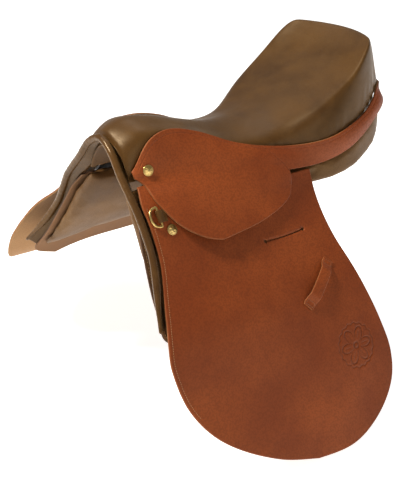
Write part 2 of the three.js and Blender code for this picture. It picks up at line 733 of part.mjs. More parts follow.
// Steel gullet plate: an arch under the head with its legs in the point pockets.
const GULLET = [
  [0, -8.5], [15, -12.5], [26, -22.5], [37, -34], [48, -48], [57, -61], [75, -78], [97, -101], [112, -128],
];
const gulletPlate = () => archSheet(GULLET, [30, 54], 2.6, 12);

// Leather pocket on the sweat flap, open at the top, which holds the leg of the gullet plate.
const POCKET_LEFT = [[24, 52], [22, 70], [26, 92], [42, 100]];
const POCKET_RIGHT = [[62, 52], [64, 70], [58, 92], [42, 100]];
const pointPocket = () => drapedSheet(NEAR_DRAPE, POCKET_LEFT, POCKET_RIGHT, -9.6, -7.4, 5, 3);

// Spring steel strips run lengthwise inside the tree, with a web over each.
const STRAINER = [
  // x, y, z
  [16, 66, -14], [17, 110, -19], [21, 160, -34], [24, 215, -46], [27, 270, -42], [30, 330, -18],
  [28, 385, 9], [26, 425, 35], [22, 442, 48],
];
function lengthwise(half, thick, lift) {
  const curve = spaceCurve(STRAINER);
  const steps = 14;
  const layers = [thick, 0].map((extra) => {
    const grid = [];
    for (let k = 0; k <= steps; k += 1) {
      const p = curve.getPoint(k / steps);
      grid.push([-1, 1].map((side) => vec(p.x + side * half, p.y, p.z + lift + extra)));
    }
    return grid;
  });
  return sheet(layers[0], layers[1]);
}

// Lining under the tree, which closes the top of the channel between the panels.
const LINING = [
  // y, z
  [66, -44], [110, -51], [160, -61], [215, -69], [262, -75], [312, -71], [355, -62], [400, -47],
  [440, -33], [472, -25], [492, -24],
];
function channelLining() {
  const curve = planeCurve(LINING);
  const steps = 16;
  const layers = [1.8, 0].map((lift) => {
    const grid = [];
    for (let k = 0; k <= steps; k += 1) {
      const p = curve.getPoint(k / steps);
      grid.push([-1, -0.5, 0, 0.5, 1].map((side) =>
        vec(side * (CHANNEL + 6), p.x, p.y - 5 * side * side + lift)));
    }
    return grid;
  });
  return sheet(layers[0], layers[1]);
}

// ---------------------------------------------------------------- stirrup bars
const BAR = {
  plateIn: 54, plateOut: 57, slot: 7, thick: 6, front: 100, end: 168, low: -67, high: -59,
};
function stirrupBar() {
  const inside = BAR.plateOut + BAR.slot;
  const outside = inside + BAR.thick;
  const plate = box(BAR.plateIn, BAR.plateOut, BAR.front, 190, BAR.low, -49);
  const root = box(BAR.plateOut - 0.5, outside, BAR.front, BAR.front + 11, BAR.low, BAR.high);
  const arm = box(inside, outside, BAR.front, BAR.end, BAR.low, BAR.high);
  const pin = new THREE.CylinderGeometry(CATCH.pin, CATCH.pin, outside - BAR.plateOut + 1.5, 14);
  pin.rotateZ(Math.PI / 2);
  pin.translate((outside + BAR.plateOut + 0.5) / 2, CATCH.y, CATCH.z);
  return joined(plate, root, arm, pin);
}
const CATCH = { y: 175, z: -63, pin: 1.8, clearance: 0.3, length: 18, half: 3.2 };
function barCatch() {
  const inside = BAR.plateOut + 1;
  const outside = BAR.plateOut + BAR.slot + BAR.thick - 0.5;
  const lever = box(inside, outside, CATCH.y, CATCH.y + CATCH.length, CATCH.z - CATCH.half, CATCH.z + CATCH.half);
  const knuckle = new THREE.CylinderGeometry(CATCH.half + 1.2, CATCH.half + 1.2, outside - inside, 18);
  const hole = new THREE.CylinderGeometry(CATCH.pin + CATCH.clearance, CATCH.pin + CATCH.clearance, 40, 14);
  for (const round of [knuckle, hole]) {
    round.rotateZ(Math.PI / 2);
    round.translate((inside + outside) / 2, CATCH.y, CATCH.z);
  }
  return cut(joined(lever, knuckle), hole);
}

const rivet = (y) => {
  const head = new THREE.CylinderGeometry(4, 4, 2, 14);
  head.rotateZ(Math.PI / 2);
  head.translate(BAR.plateOut + 1.3, y, -53.5);
  return head;
};

// ---------------------------------------------------------------- assembly
const saddle = new THREE.Group();

function add(name, geometry, color, roughness, metalness = 0) {
  const material = new THREE.MeshStandardMaterial({ color, roughness, metalness });
  const mesh = new THREE.Mesh(geometry, material);
  mesh.name = name;
  saddle.add(mesh);
}

function addPair(name, make, color, roughness, metalness = 0) {
  add(`near_${name}`, make(NEAR_DRAPE), color, roughness, metalness);
  add(`off_${name}`, mirrored(make(OFF_DRAPE)), color, roughness, metalness);
}

add("seat_cover", seatCover(), DARK_LEATHER, 0.42);
add("seat_foam", seatFoam(), FOAM_COLOUR, 0.95);
add("cantle_band", cantleBand(), TAN_LEATHER, 0.55);
addPair("skirt", skirt, TAN_LEATHER, 0.55);
addPair("flap", flap, TAN_LEATHER, 0.55);
addPair("flap_keeper", keeper, TAN_LEATHER, 0.5);
addPair("skirt_stud", skirtStud, BRASS, 0.3, 1);
addPair("flap_nail", nail, BRASS, 0.3, 1);
addPair("d_ring", dRing, BRASS, 0.25, 1);
addPair("d_ring_chape", chape, DARK_LEATHER, 0.5);
add("arch_roll", archRoll(), DARK_LEATHER, 0.4);
add("arch_lining", archLining(), DARK_LEATHER, 0.5);
addPair("panel", panel, DARK_LEATHER, 0.45);
addPair("sweat_flap", sweatFlap, DARK_LEATHER, 0.55);
addPair("knee_roll", kneeRoll, DARK_LEATHER, 0.5);
for (const { name, y, out } of BILLETS) {
  addPair(`billet_${name}`, (drape) => billet(drape, y, out), TAN_LEATHER, 0.6);
}
addPair("billet_guard", billetGuard, TAN_LEATHER, 0.6);
add("tree_frame", treeFrame(), WOOD, 0.7);
add("gullet_plate", gulletPlate(), STEEL, 0.4, 1);
addPair("point_pocket", pointPocket, DARK_LEATHER, 0.6);
addPair("spring", () => lengthwise(7, 1.4, 0), STEEL, 0.35, 1);
addPair("seat_web", () => lengthwise(9, 1.4, 2), WEB, 0.95);
add("channel_lining", channelLining(), DARK_LEATHER, 0.7);
addPair("stirrup_bar", stirrupBar, STEEL, 0.35, 1);
addPair("bar_catch", barCatch, STEEL, 0.35, 1);
addPair("front_bar_rivet", () => rivet(114), STEEL, 0.4, 1);
addPair("rear_bar_rivet", () => rivet(160), STEEL, 0.4, 1);

// The drawing frame's origin is the top of the arch; the library frame's is on the spine.
saddle.position.set(0, -SEAT_DIP_Y, SPINE_DROP);
const part = new THREE.Group();
part.add(saddle);

export default part;
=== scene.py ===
"""Looks of the english saddle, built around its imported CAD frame.

Tables are in the saddle's drawing frame, in millimetres: the origin is the top of the front arch,
+X is the near side, +Y runs back to the cantle and +Z is up.  to_row() turns such points into the
row frame in metres.
"""
import math

import bpy
import numpy as np
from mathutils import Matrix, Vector
from mathutils.geometry import delaunay_2d_cdt


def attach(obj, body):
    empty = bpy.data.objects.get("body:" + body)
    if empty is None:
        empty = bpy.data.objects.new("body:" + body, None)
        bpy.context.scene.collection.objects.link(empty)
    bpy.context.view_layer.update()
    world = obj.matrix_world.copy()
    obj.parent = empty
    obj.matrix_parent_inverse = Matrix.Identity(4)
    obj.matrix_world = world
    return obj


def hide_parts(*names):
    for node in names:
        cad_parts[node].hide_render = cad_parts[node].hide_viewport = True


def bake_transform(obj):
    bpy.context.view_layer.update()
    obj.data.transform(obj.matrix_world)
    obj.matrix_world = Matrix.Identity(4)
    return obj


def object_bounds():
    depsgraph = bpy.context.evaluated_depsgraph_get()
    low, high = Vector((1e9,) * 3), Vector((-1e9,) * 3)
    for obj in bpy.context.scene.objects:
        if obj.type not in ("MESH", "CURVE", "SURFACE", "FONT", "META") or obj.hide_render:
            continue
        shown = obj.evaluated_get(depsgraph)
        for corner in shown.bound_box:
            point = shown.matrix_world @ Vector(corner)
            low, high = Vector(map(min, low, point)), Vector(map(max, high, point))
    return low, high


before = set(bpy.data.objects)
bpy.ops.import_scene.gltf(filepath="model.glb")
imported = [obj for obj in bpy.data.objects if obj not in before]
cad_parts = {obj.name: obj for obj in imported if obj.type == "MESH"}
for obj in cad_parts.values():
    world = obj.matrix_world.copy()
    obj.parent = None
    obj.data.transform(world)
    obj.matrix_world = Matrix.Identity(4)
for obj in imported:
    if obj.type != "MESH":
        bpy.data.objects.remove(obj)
cad_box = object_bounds()

SEAT_DIP_Y = 220
SPINE_DROP = 120
SIDES = (("near", 1), ("off", -1))


# ---------------------------------------------------------------- numbers and curves
def to_row(points):
    """Drawing-frame millimetres to row-frame metres."""
    return (np.asarray(points, float) - (0, SEAT_DIP_Y, -SPINE_DROP)) / 1000


def smooth(a, b, t):
    k = np.clip((np.asarray(t, float) - a) / (b - a), 0, 1)
    return k * k * (3 - 2 * k)


def lerp(a, b, t):
    return a + (b - a) * t


def unit(v):
    v = np.asarray(v, float)
    return v / np.maximum(np.linalg.norm(v, axis=-1, keepdims=True), 1e-12)


class Curve:
    """Uniform Catmull-Rom curve through points; plane curves repeat their end points."""

    def __init__(self, points, closed=False, plane=False):
        p = np.asarray(points, float)
        self.count = len(p) if closed else len(p) - 1
        if closed:
            self.p = np.vstack([p[-1:], p, p[:2]])
        elif plane:
            self.p = np.vstack([p[:1], p, p[-1:], p[-1:]])
        else:
            self.p = np.vstack([2 * p[0] - p[1], p, 2 * p[-1] - p[-2], 2 * p[-1] - p[-2]])
        t = np.linspace(0, 1, 2401)
        q = self.at(t)
        steps = np.linalg.norm(np.diff(q, axis=0), axis=1)
        self.table = np.concatenate([[0], np.cumsum(steps)])
        self.length = self.table[-1]
        self.t = t

    def at(self, t):
        u = np.clip(np.asarray(t, float), 0, 1) * self.count
        i = np.minimum(u.astype(int), self.count - 1)
        w = (u - i)[..., None]
        p0, p1, p2, p3 = (self.p[i + k] for k in range(4))
        v0, v1 = (p2 - p0) / 2, (p3 - p1) / 2
        a = 2 * p1 - 2 * p2 + v0 + v1
        b = -3 * p1 + 3 * p2 - 2 * v0 - v1
        return ((a * w + b) * w + v0) * w + p1

    def along(self, share):
        """Points at shares of the arc length."""
        return self.at(np.interp(np.asarray(share, float) * self.length, self.table, self.t))


def plane(points):
    return Curve(points, plane=True)


# ---------------------------------------------------------------- the drape of the flaps
DRAPES = {
    "near": (
        plane([(66, 54), (84, 68), (106, 92), (124, 123), (162, 180), (205, 235), (246, 330), (288, 420),
               (353, 560)]),
        plane([(98, 80), (106, 100), (117, 125), (134, 155), (162, 195), (200, 245), (246, 330),
               (288, 420), (353, 560)]),
    ),
    "off": (
        plane([(66, 54), (86, 69), (114, 93), (148, 126), (196, 164), (226, 202), (259, 248),
               (299, 292), (360, 328), (450, 378), (530, 420)]),
        plane([(98, 80), (112, 102), (134, 126), (168, 158), (200, 190), (230, 222), (262, 258),
               (299, 292), (360, 328), (450, 378), (530, 420)]),
    ),
}
SPLAY = (20, 270)


def drape_point(side, y, s):
    y, s = np.broadcast_arrays(np.asarray(y, float), np.asarray(s, float))
    front, rear = DRAPES[side]
    a = front.along(np.clip(s / front.length, 0, 1))
    b = rear.along(np.clip(s / rear.length, 0, 1))
    k = smooth(*SPLAY, y)
    return np.stack([lerp(a[..., 0], b[..., 0], k), y, -lerp(a[..., 1], b[..., 1], k)], -1)


def drape_normal(side, y, s):
    top = np.maximum(0.5, s)
    down = drape_point(side, y, top + 2) - drape_point(side, y, top - 0.5)
    back = drape_point(side, np.asarray(y) + 2, top) - drape_point(side, np.asarray(y) - 2, top)
    return -unit(np.cross(back, down))


def on_drape(side, y, s, lift):
    """Points on the drape, lift away from it, on the near side of the drawing frame."""
    return drape_point(side, y, s) + drape_normal(side, y, s) * np.asarray(lift, float)[..., None]


def flip(points, sign):
    return np.asarray(points) * (sign, 1, 1)


# ---------------------------------------------------------------- profiles used by several pieces
def edge_drop(radius, edge):
    """How far a face falls at a distance from its rounded edge."""
    return radius - np.sqrt(np.maximum(radius ** 2 - np.maximum(radius - edge, 0) ** 2, 0))


def groove(distance, place, depth, width):
    """Relief of a tooled line at a distance from the edge."""
    return -depth * np.exp(-((distance - place) / width) ** 2)


def round_cap(t, share):
    """Radius factor that closes both ends of a roll over a share of its length."""
    return np.sqrt(np.clip(1 - (1 - np.clip(np.minimum(t, 1 - t) / share, 0, 1)) ** 2, 0.02, 1))


def hermite(start, end, first, last, k):
    """Cubic from start to end, leaving along first and arriving along last."""
    return (start * (2 * k ** 3 - 3 * k ** 2 + 1) + first * (k ** 3 - 2 * k ** 2 + k)
            + end * (3 * k ** 2 - 2 * k ** 3) + last * (k ** 3 - k ** 2))


def sheet_attributes(edge):
    """Distance to the cut edge and flesh side, for a face and its back in that order."""
    return {"edge": np.tile(edge.ravel(), 2), "back": np.repeat([0.0, 1.0], edge.size)}


# ---------------------------------------------------------------- meshes
def linked(name, data):
    """A new object in the scene."""
    obj = bpy.data.objects.new(name, data)
    bpy.context.scene.collection.objects.link(obj)
    return obj


def mesh_object(name, points, faces, body, material, replaces=(), attributes=None):
    """A piece from drawing-frame points and faces, facing out, riding on a body."""
    mesh = bpy.data.meshes.new(name)
    mesh.from_pydata([tuple(p) for p in to_row(points)], [], [tuple(map(int, f)) for f in faces])
    mesh.update()
    obj = linked(name, mesh)
    for key, values in (attributes or {}).items():
        layer = mesh.attributes.new(key, "FLOAT", "POINT")
        layer.data.foreach_set("value", np.asarray(values, np.float32))
    face_out(obj)
    mesh.polygons.foreach_set("use_smooth", [True] * len(mesh.polygons))
    mesh.materials.append(material)
    if body:
        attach(obj, body)
    if replaces:
        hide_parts(*replaces)
    return obj


def face_out(obj):
    """Turns all faces over if the closed mesh has a negative volume."""
    mesh = obj.data
    co = np.empty(len(mesh.vertices) * 3)
    mesh.vertices.foreach_get("co", co)
    co = co.reshape(-1, 3)
    co = co - co.mean(0)
    mesh.calc_loop_triangles()
    tri = np.empty(len(mesh.loop_triangles) * 3, int)
    mesh.loop_triangles.foreach_get("vertices", tri)
    a, b, c = (co[tri.reshape(-1, 3)[:, k]] for k in range(3))
    if np.einsum("ij,ij->i", a, np.cross(b, c)).sum() < 0:
        mesh.flip_normals()


def grid_faces(rows, columns, start=0, wrap=False):
    """Quads of a rows by columns grid of points; wrap joins the last column to the first."""
    faces = []
    for r in range(rows - 1):
        for c in range(columns if wrap else columns - 1):
            d = (c + 1) % columns
            a = start + r * columns
            faces.append((a + c, a + d, a + columns + d, a + columns + c))
    return faces


def closed_sheet(front, back):
    """Points and faces of a closed sheet between two equal grids."""
    rows, columns = front.shape[:2]
    n = rows * columns
    points = np.vstack([front.reshape(-1, 3), back.reshape(-1, 3)])
    faces = grid_faces(rows, columns) + [f[::-1] for f in grid_faces(rows, columns, n)]
    ring = [(0, c) for c in range(columns)] + [(r, columns - 1) for r in range(1, rows)]
    ring += [(rows - 1, c) for c in range(columns - 2, -1, -1)] + [(r, 0) for r in range(rows - 2, 0, -1)]
    index = [r * columns + c for r, c in ring]
    for a, b in zip(index, index[1:] + index[:1]):
        faces.append((b, a, a + n, b + n))
    return points, faces


def tube(centres, across, high, up, sides=16, closed=False):
    """Points and faces of a bar along centres; across and high are radii at each centre."""
    centres = np.asarray(centres, float)
    n = len(centres)
    if closed:
        along = np.roll(centres, -1, 0) - np.roll(centres, 1, 0)
    else:
        along = np.gradient(centres, axis=0)
    along = unit(along)
    side = unit(np.cross(along, np.broadcast_to(up, centres.shape)))
    top = unit(np.cross(side, along))
    angle = np.linspace(0, 2 * np.pi, sides, endpoint=False)
    across, high = np.broadcast_to(across, n), np.broadcast_to(high, n)
    rings = (centres[:, None] + side[:, None] * (np.cos(angle)[None, :, None] * across[:, None, None])
             + top[:, None] * (np.sin(angle)[None, :, None] * high[:, None, None]))
    points = rings.reshape(-1, 3)
    faces = grid_faces(n, sides, 0, True)
    if closed:
        last = (n - 1) * sides
        for c in range(sides):
            d = (c + 1) % sides
            faces.append((last + c, last + d, d, c))
    else:
        faces += [tuple(range(sides))[::-1], tuple(range((n - 1) * sides, n * sides))]
    return points, faces


def merged(parts):
    """Several (points, faces) as one."""
    points, faces, start = [], [], 0
    for p, f in parts:
        points.append(p)
        faces += [tuple(i + start for i in face) for face in f]
        start += len(p)
    return np.vstack(points), faces


# ---------------------------------------------------------------- leather cut to a pattern
def outline_of(left, right, step):
    """Closed pattern outline from its left and right edges, with points about step apart."""
    parts = []
    for edge in (plane(left), plane(right)):
        count = max(8, int(edge.length / step))
        parts.append(edge.along(np.linspace(0, 1, count)))
    a, b = parts
    count = max(2, int(np.linalg.norm(a[0] - b[0]) / step))
    top = lerp(b[0], a[0], np.linspace(0, 1, count + 1)[1:-1, None])
    return np.vstack([a, b[::-1][1:], top])


def inset(loop, distance):
    """The closed loop moved inwards."""
    along = unit(np.roll(loop, -1, 0) - np.roll(loop, 1, 0))
    area = np.sum(loop[:, 0] * np.roll(loop[:, 1], -1) - loop[:, 1] * np.roll(loop[:, 0], -1))
    inward = np.stack([-along[:, 1], along[:, 0]], -1) * (1 if area > 0 else -1)
    return loop + inward * distance


def inside(points, loop):
    """Which points lie inside a closed loop."""
    x, y = points[:, 0][:, None], points[:, 1][:, None]
    x0, y0 = loop[:, 0][None], loop[:, 1][None]
    x1, y1 = np.roll(loop[:, 0], -1)[None], np.roll(loop[:, 1], -1)[None]
    cross = ((y0 > y) != (y1 > y)) & (x < (x1 - x0) * (y - y0) / (y1 - y0 + 1e-12) + x0)
    return cross.sum(1) % 2 == 1


def distance_to(points, loop, closed=True):
    """Distance of each point to a line of points."""
    a, b = (loop, np.roll(loop, -1, 0)) if closed else (loop[:-1], loop[1:])
    best = np.full(len(points), 1e9)
    for k in range(0, len(points), 2000):
        p = points[k:k + 2000][:, None]
        d = b[None] - a[None]
        t = np.clip(((p - a[None]) * d).sum(-1) / ((d * d).sum(-1) + 1e-12), 0, 1)
        best[k:k + 2000] = np.linalg.norm(p - a[None] - d * t[..., None], axis=-1).min(1)
    return best


def cut_leather(outline, spacing, holes=(), dense=(), rim=(0.5, 1.3, 2.8)):
    """Flat triangulation of a pattern: points, triangles, distance to the edge, and the edge loops."""
    loops = [outline, *holes]
    sets, edges, start = [], [], 0
    for k, loop in enumerate(loops):
        n = len(loop)
        edges += [(start + i, start + (i + 1) % n) for i in range(n)]
        sets.append(loop)
        start += n
    rims = [inset(outline, d) for d in rim]
    for ring in rims:
        sets.append(ring[inside(ring, outline)])
    for hole in holes:
        for d in rim[1:2]:
            sets.append(inset(hole, -d))
    low, high = outline.min(0), outline.max(0)
    fields = [(spacing, None)] + [(fine, (centre, radius)) for centre, radius, fine in dense]
    for step, zone in fields:
        rows = np.arange(low[1], high[1], step * 0.866)
        points = np.vstack([np.stack([np.arange(low[0], high[0], step) + (i % 2) * step / 2,
                                      np.full(len(np.arange(low[0], high[0], step)), v)], -1)
                            for i, v in enumerate(rows)])
        points = points[inside(points, outline)]
        points = points[distance_to(points, outline) > rim[-1] + step * 0.4]
        for hole in holes:
            keep = ~inside(points, hole) & (distance_to(points, hole) > rim[1] + 0.4)
            points = points[keep]
        if zone is None:
            for centre, radius, _ in dense:
                points = points[np.linalg.norm(points - centre, axis=1) > radius]
        else:
            centre, radius = zone
            points = points[np.linalg.norm(points - centre, axis=1) <= radius]
        sets.append(points)
    flat = np.vstack(sets)
    out = delaunay_2d_cdt([Vector(p) for p in flat], edges, [], 0, 1e-5)
    points = np.array([tuple(v) for v in out[0]])
    triangles = np.array([f for f in out[2] if len(f) == 3])
    middle = points[triangles].mean(1)
    keep = inside(middle, outline)
    for hole in holes:
        keep &= ~inside(middle, hole)
    triangles = triangles[keep]
    a, b, c = (points[triangles[:, k]] for k in range(3))
    turn = (b - a)[:, 0] * (c - a)[:, 1] - (b - a)[:, 1] * (c - a)[:, 0]
    triangles[turn < 0] = triangles[turn < 0][:, ::-1]
    used = np.unique(triangles)
    index = np.full(len(points), -1)
    index[used] = np.arange(len(used))
    points, triangles = points[used], index[triangles]
    edge = distance_to(points, outline)
    for hole in holes:
        edge = np.minimum(edge, distance_to(points, hole))
    return points, triangles, edge


def leather_piece(name, place, pattern, low, high, body, material, replaces, round_edge=1.4,
                  relief=None, sign=1, stamp=None):
    """A sheet of leather: place(y, s, lift) puts pattern points in space."""
    flat, triangles, edge = pattern
    drop = edge_drop(round_edge, edge)
    lift = high - drop
    if relief is not None:
        lift = lift + relief(flat, edge)
    pressed = np.zeros(len(flat)) if stamp is None else -stamp(flat)
    outer = place(flat[:, 0], flat[:, 1], lift)
    inner = place(flat[:, 0], flat[:, 1], low + drop)
    n = len(flat)
    sides = {}
    for tri in triangles:
        for a, b in ((tri[0], tri[1]), (tri[1], tri[2]), (tri[2], tri[0])):
            sides[(int(a), int(b))] = True
    rim = [(a, b) for a, b in sides if (b, a) not in sides]
    faces = [tuple(t) for t in triangles] + [tuple(t[::-1] + n) for t in triangles]
    faces += [(b, a, a + n, b + n) for a, b in rim]
    points = flip(np.vstack([outer, inner]), sign)
    return mesh_object(name, points, faces, body, material, replaces,
                       attributes={**sheet_attributes(edge),
                                   "pressed": np.concatenate([pressed, np.zeros(n)])})


def stitches(name, lines, body, material, pitch, length, radius):
    """Rows of thread, each line an array of points with a normal at each: (points, normals)."""
    parts = []
    for points, normals in lines:
        steps = np.concatenate([[0], np.cumsum(np.linalg.norm(np.diff(points, axis=0), axis=1))])
        for start in np.arange(pitch / 2, steps[-1] - length, pitch):
            t = np.array([0, 0.12, 0.3, 0.5, 0.7, 0.88, 1]) * length + start
            p = np.stack([np.interp(t, steps, points[:, k]) for k in range(3)], -1)
            m = unit(np.stack([np.interp(t, steps, normals[:, k]) for k in range(3)], -1))
            arch = np.sin(np.linspace(0, np.pi, 7))
            p = p + m * (radius * 1.3 * arch[:, None] - radius * 0.9)
            parts.append(tube(p, radius * (0.55 + 0.45 * arch), radius * (0.55 + 0.45 * arch), m, 6))
    points, faces = merged(parts)
    mesh_object(name, points, faces, body, material)


# ---------------------------------------------------------------- materials
def scaled(color, share):
    return tuple(min(1, c * share) for c in color)


class Nodes:
    """Short ways to add and link the nodes of one material."""

    def __init__(self, name):
        self.material = bpy.data.materials.new(name)
        self.material.use_nodes = True
        self.tree = self.material.node_tree
        self.tree.nodes.clear()
        self.out = self.add("ShaderNodeOutputMaterial")
        self.shader = self.add("ShaderNodeBsdfPrincipled")
        self.tree.links.new(self.shader.outputs[0], self.out.inputs[0])
        self.place = self.add("ShaderNodeTexCoord").outputs["Object"]

    def add(self, kind, **settings):
        node = self.tree.nodes.new(kind)
        for key, value in settings.items():
            setattr(node, key, value)
        return node

    def put(self, node, socket, value):
        if isinstance(value, bpy.types.NodeSocket):
            self.tree.links.new(value, node.inputs[socket])
        else:
            node.inputs[socket].default_value = value

    def noise(self, scale, detail=3.0, rough=0.55, where=None, distort=0.0):
        node = self.add("ShaderNodeTexNoise")
        self.put(node, "Vector", where or self.place)
        for socket, value in (("Scale", scale), ("Detail", detail), ("Roughness", rough),
                              ("Distortion", distort)):
            self.put(node, socket, value)
        return node.outputs["Fac"]

    def cells(self, scale, feature="F1", where=None):
        node = self.add("ShaderNodeTexVoronoi", feature=feature)
        self.put(node, "Vector", where or self.place)
        self.put(node, "Scale", scale)
        return node.outputs["Distance"]

    def remap(self, value, a, b, c=0.0, d=1.0):
        node = self.add("ShaderNodeMapRange", interpolation_type="SMOOTHSTEP")
        for socket, v in (("Value", value), ("From Min", a), ("From Max", b), ("To Min", c), ("To Max", d)):
            self.put(node, socket, v)
        return node.outputs[0]

    def math(self, operation, a, b=0.0):
        node = self.add("ShaderNodeMath", operation=operation)
        self.put(node, 0, a)
        self.put(node, 1, b)
        return node.outputs[0]

    def mix(self, factor, a, b):
        node = self.add("ShaderNodeMix", data_type="RGBA")
        self.put(node, 0, factor)
        for socket, value in ((6, a), (7, b)):
            self.put(node, socket, value if isinstance(value, bpy.types.NodeSocket) else (*value, 1))
        return node.outputs[2]

    def attribute(self, name):
        return self.add("ShaderNodeAttribute", attribute_name=name).outputs["Fac"]

    def shifted(self, amount, scale):
        """Object coordinates pushed about by noise, so that cells aren't round."""
        node = self.add("ShaderNodeTexNoise")
        self.put(node, "Vector", self.place)
        self.put(node, "Scale", scale)
        add = self.add("ShaderNodeVectorMath", operation="MULTIPLY_ADD")
        self.put(add, 0, node.outputs["Color"])
        add.inputs[1].default_value = (amount,) * 3
        self.put(add, 2, self.place)
        return add.outputs[0]

    def stretched(self, scale):
        node = self.add("ShaderNodeMapping")
        self.put(node, "Vector", self.place)
        node.inputs["Scale"].default_value = scale
        return node.outputs[0]

    def bump(self, *heights):
        """Chained bumps, each (height, strength, distance in metres)."""
        normal = None
        for height, strength, distance in heights:
            node = self.add("ShaderNodeBump")
            self.put(node, "Height", height)
            self.put(node, "Strength", strength)
            self.put(node, "Distance", distance)
            if normal is not None:
                self.put(node, "Normal", normal)
            normal = node.outputs[0]
        self.put(self.shader, "Normal", normal)

    def finish(self, color, roughness, **uniform):
        self.put(self.shader, "Base Color", color)
        self.put(self.shader, "Roughness", roughness)
        for key, value in uniform.items():
            self.shader.inputs[key.replace("_", " ")].default_value = value
        return self.material


def calf_leather(name, deep, light, shine=0.42, grain=900.0):
    """Smooth dark calf: fine grain, soft creases and an uneven golden bloom."""
    n = Nodes(name)
    cloud = n.noise(7, 4, 0.6)
    patch = n.noise(38, 5, 0.62)
    warped = n.shifted(0.0012, 500)
    pores = n.cells(grain, "F1", warped)
    wrinkle = n.noise(110, 4, 0.7, n.stretched((1.0, 0.45, 1.0)), 0.8)
    tone = n.mix(n.remap(cloud, 0.3, 0.72), deep, light)
    tone = n.mix(n.remap(patch, 0.35, 0.8, 0, 0.35), tone, light)
    tone = n.mix(n.remap(pores, 0.35, 0.75, 0, 0.3), tone, scaled(deep, 0.45))
    rough = n.math("ADD", n.remap(patch, 0.3, 0.8, shine - 0.05, shine + 0.1),
                   n.remap(pores, 0.3, 0.8, 0, 0.08))
    n.bump((wrinkle, 0.25, 0.0006), (pores, 0.35, 0.00025), (n.noise(1900, 2), 0.2, 0.0001))
    return n.finish(tone, rough, Coat_Weight=0.05, Coat_Roughness=0.4, Sheen_Weight=0.1,
                    Sheen_Roughness=0.45, Sheen_Tint=(1.0, 0.66, 0.28, 1.0), Specular_IOR_Level=0.34,
                    Specular_Tint=(1.0, 0.78, 0.5, 1.0))


def pebbled_leather(name, deep, light, edge, flesh):
    """Thick vegetable-tanned leather: pebbled face, burnished edges and a pale flesh side."""
    n = Nodes(name)
    warped = n.shifted(0.0022, 260)
    pebble = n.cells(420, "SMOOTH_F1", warped)
    small = n.cells(950, "F1", warped)
    cloud = n.noise(6, 4, 0.6)
    patch = n.noise(45, 5, 0.65)
    fine = n.noise(2300, 2, 0.6)
    tone = n.mix(n.remap(cloud, 0.32, 0.7), deep, light)
    tone = n.mix(n.remap(patch, 0.45, 0.85, 0, 0.14), tone, scaled(light, 1.25))
    tone = n.mix(n.remap(pebble, 0.28, 0.62, 0, 0.3), tone, scaled(deep, 0.42))
    margin = n.attribute("edge")
    worn = n.math("SUBTRACT", n.remap(margin, 0.4, 1.5, 1, 0), n.remap(patch, 0.45, 0.7, 0, 0.45))
    tone = n.mix(n.remap(worn, 0, 1, 0, 0.45), tone, edge)
    tone = n.mix(n.remap(n.attribute("pressed"), 0.15, 1.0, 0, 0.4), tone, scaled(deep, 0.3))
    back = n.attribute("back")
    suede = n.mix(n.remap(n.noise(700, 3, 0.7), 0.3, 0.7), scaled(flesh, 0.72), flesh)
    tone = n.mix(n.remap(back, 0.35, 0.75), tone, suede)
    rough = n.math("ADD", n.remap(pebble, 0.2, 0.7, 0.4, 0.56), n.remap(back, 0.3, 0.8, 0, 0.35))
    n.bump((n.noise(24, 3, 0.5), 0.25, 0.003), (pebble, -0.55, 0.0006), (small, -0.3, 0.00025),
           (fine, 0.2, 0.0001))
    return n.finish(tone, rough, Coat_Weight=0.03, Coat_Roughness=0.35, Specular_IOR_Level=0.28,
                    Specular_Tint=(1.0, 0.72, 0.48, 1.0))


def plain_leather(name, deep, light, edge):
    """Bridle and lining leather: nearly smooth, darker at its waxed edges."""
    n = Nodes(name)
    streak = n.noise(60, 4, 0.6, n.stretched((1.0, 1.0, 0.35)))
    pores = n.cells(1100, "F1", n.shifted(0.001, 400))
    tone = n.mix(n.remap(streak, 0.3, 0.7), deep, light)
    tone = n.mix(n.remap(pores, 0.4, 0.8, 0, 0.25), tone, scaled(deep, 0.5))
    tone = n.mix(n.remap(n.attribute("edge"), 0.2, 1.2, 0.9, 0), tone, edge)
    back = n.attribute("back")
    tone = n.mix(n.remap(back, 0.35, 0.75, 0, 0.75), tone, scaled(light, 1.5))
    rough = n.math("ADD", n.remap(streak, 0.2, 0.8, 0.42, 0.58), n.remap(back, 0.3, 0.8, 0, 0.3))
    n.bump((n.noise(140, 3), 0.2, 0.0005), (pores, 0.25, 0.0002))
    return n.finish(tone, rough, Specular_IOR_Level=0.4)


def metal(name, deep, light, rough, brushed=(1.0, 1.0, 1.0), wear=0.5):
    """Metal with tarnish in patches, fine scratches and brighter rubbed spots."""
    n = Nodes(name)
    patch = n.noise(160, 5, 0.65)
    lines = n.noise(1500, 3, 0.7, n.stretched(brushed))
    tone = n.mix(n.remap(patch, 0.3, 0.72, 0, 1), deep, light)
    tone = n.mix(n.remap(lines, 0.6, 0.8, 0, wear), tone, scaled(light, 1.2))
    roughness = n.math("ADD", n.remap(patch, 0.3, 0.75, rough + 0.12, rough - 0.04),
                       n.remap(lines, 0.4, 0.7, 0, 0.08))
    n.bump((lines, 0.12, 0.00012), (n.noise(320, 3), 0.12, 0.0003))
    return n.finish(tone, roughness, Metallic=1.0)


def thread(name, color):
    n = Nodes(name)
    twist = n.noise(2600, 2, 0.6)
    tone = n.mix(n.remap(twist, 0.3, 0.7), scaled(color, 0.6), color)
    n.bump((twist, 0.5, 0.0002))
    return n.finish(tone, n.remap(twist, 0.2, 0.8, 0.55, 0.75), Sheen_Weight=0.2)


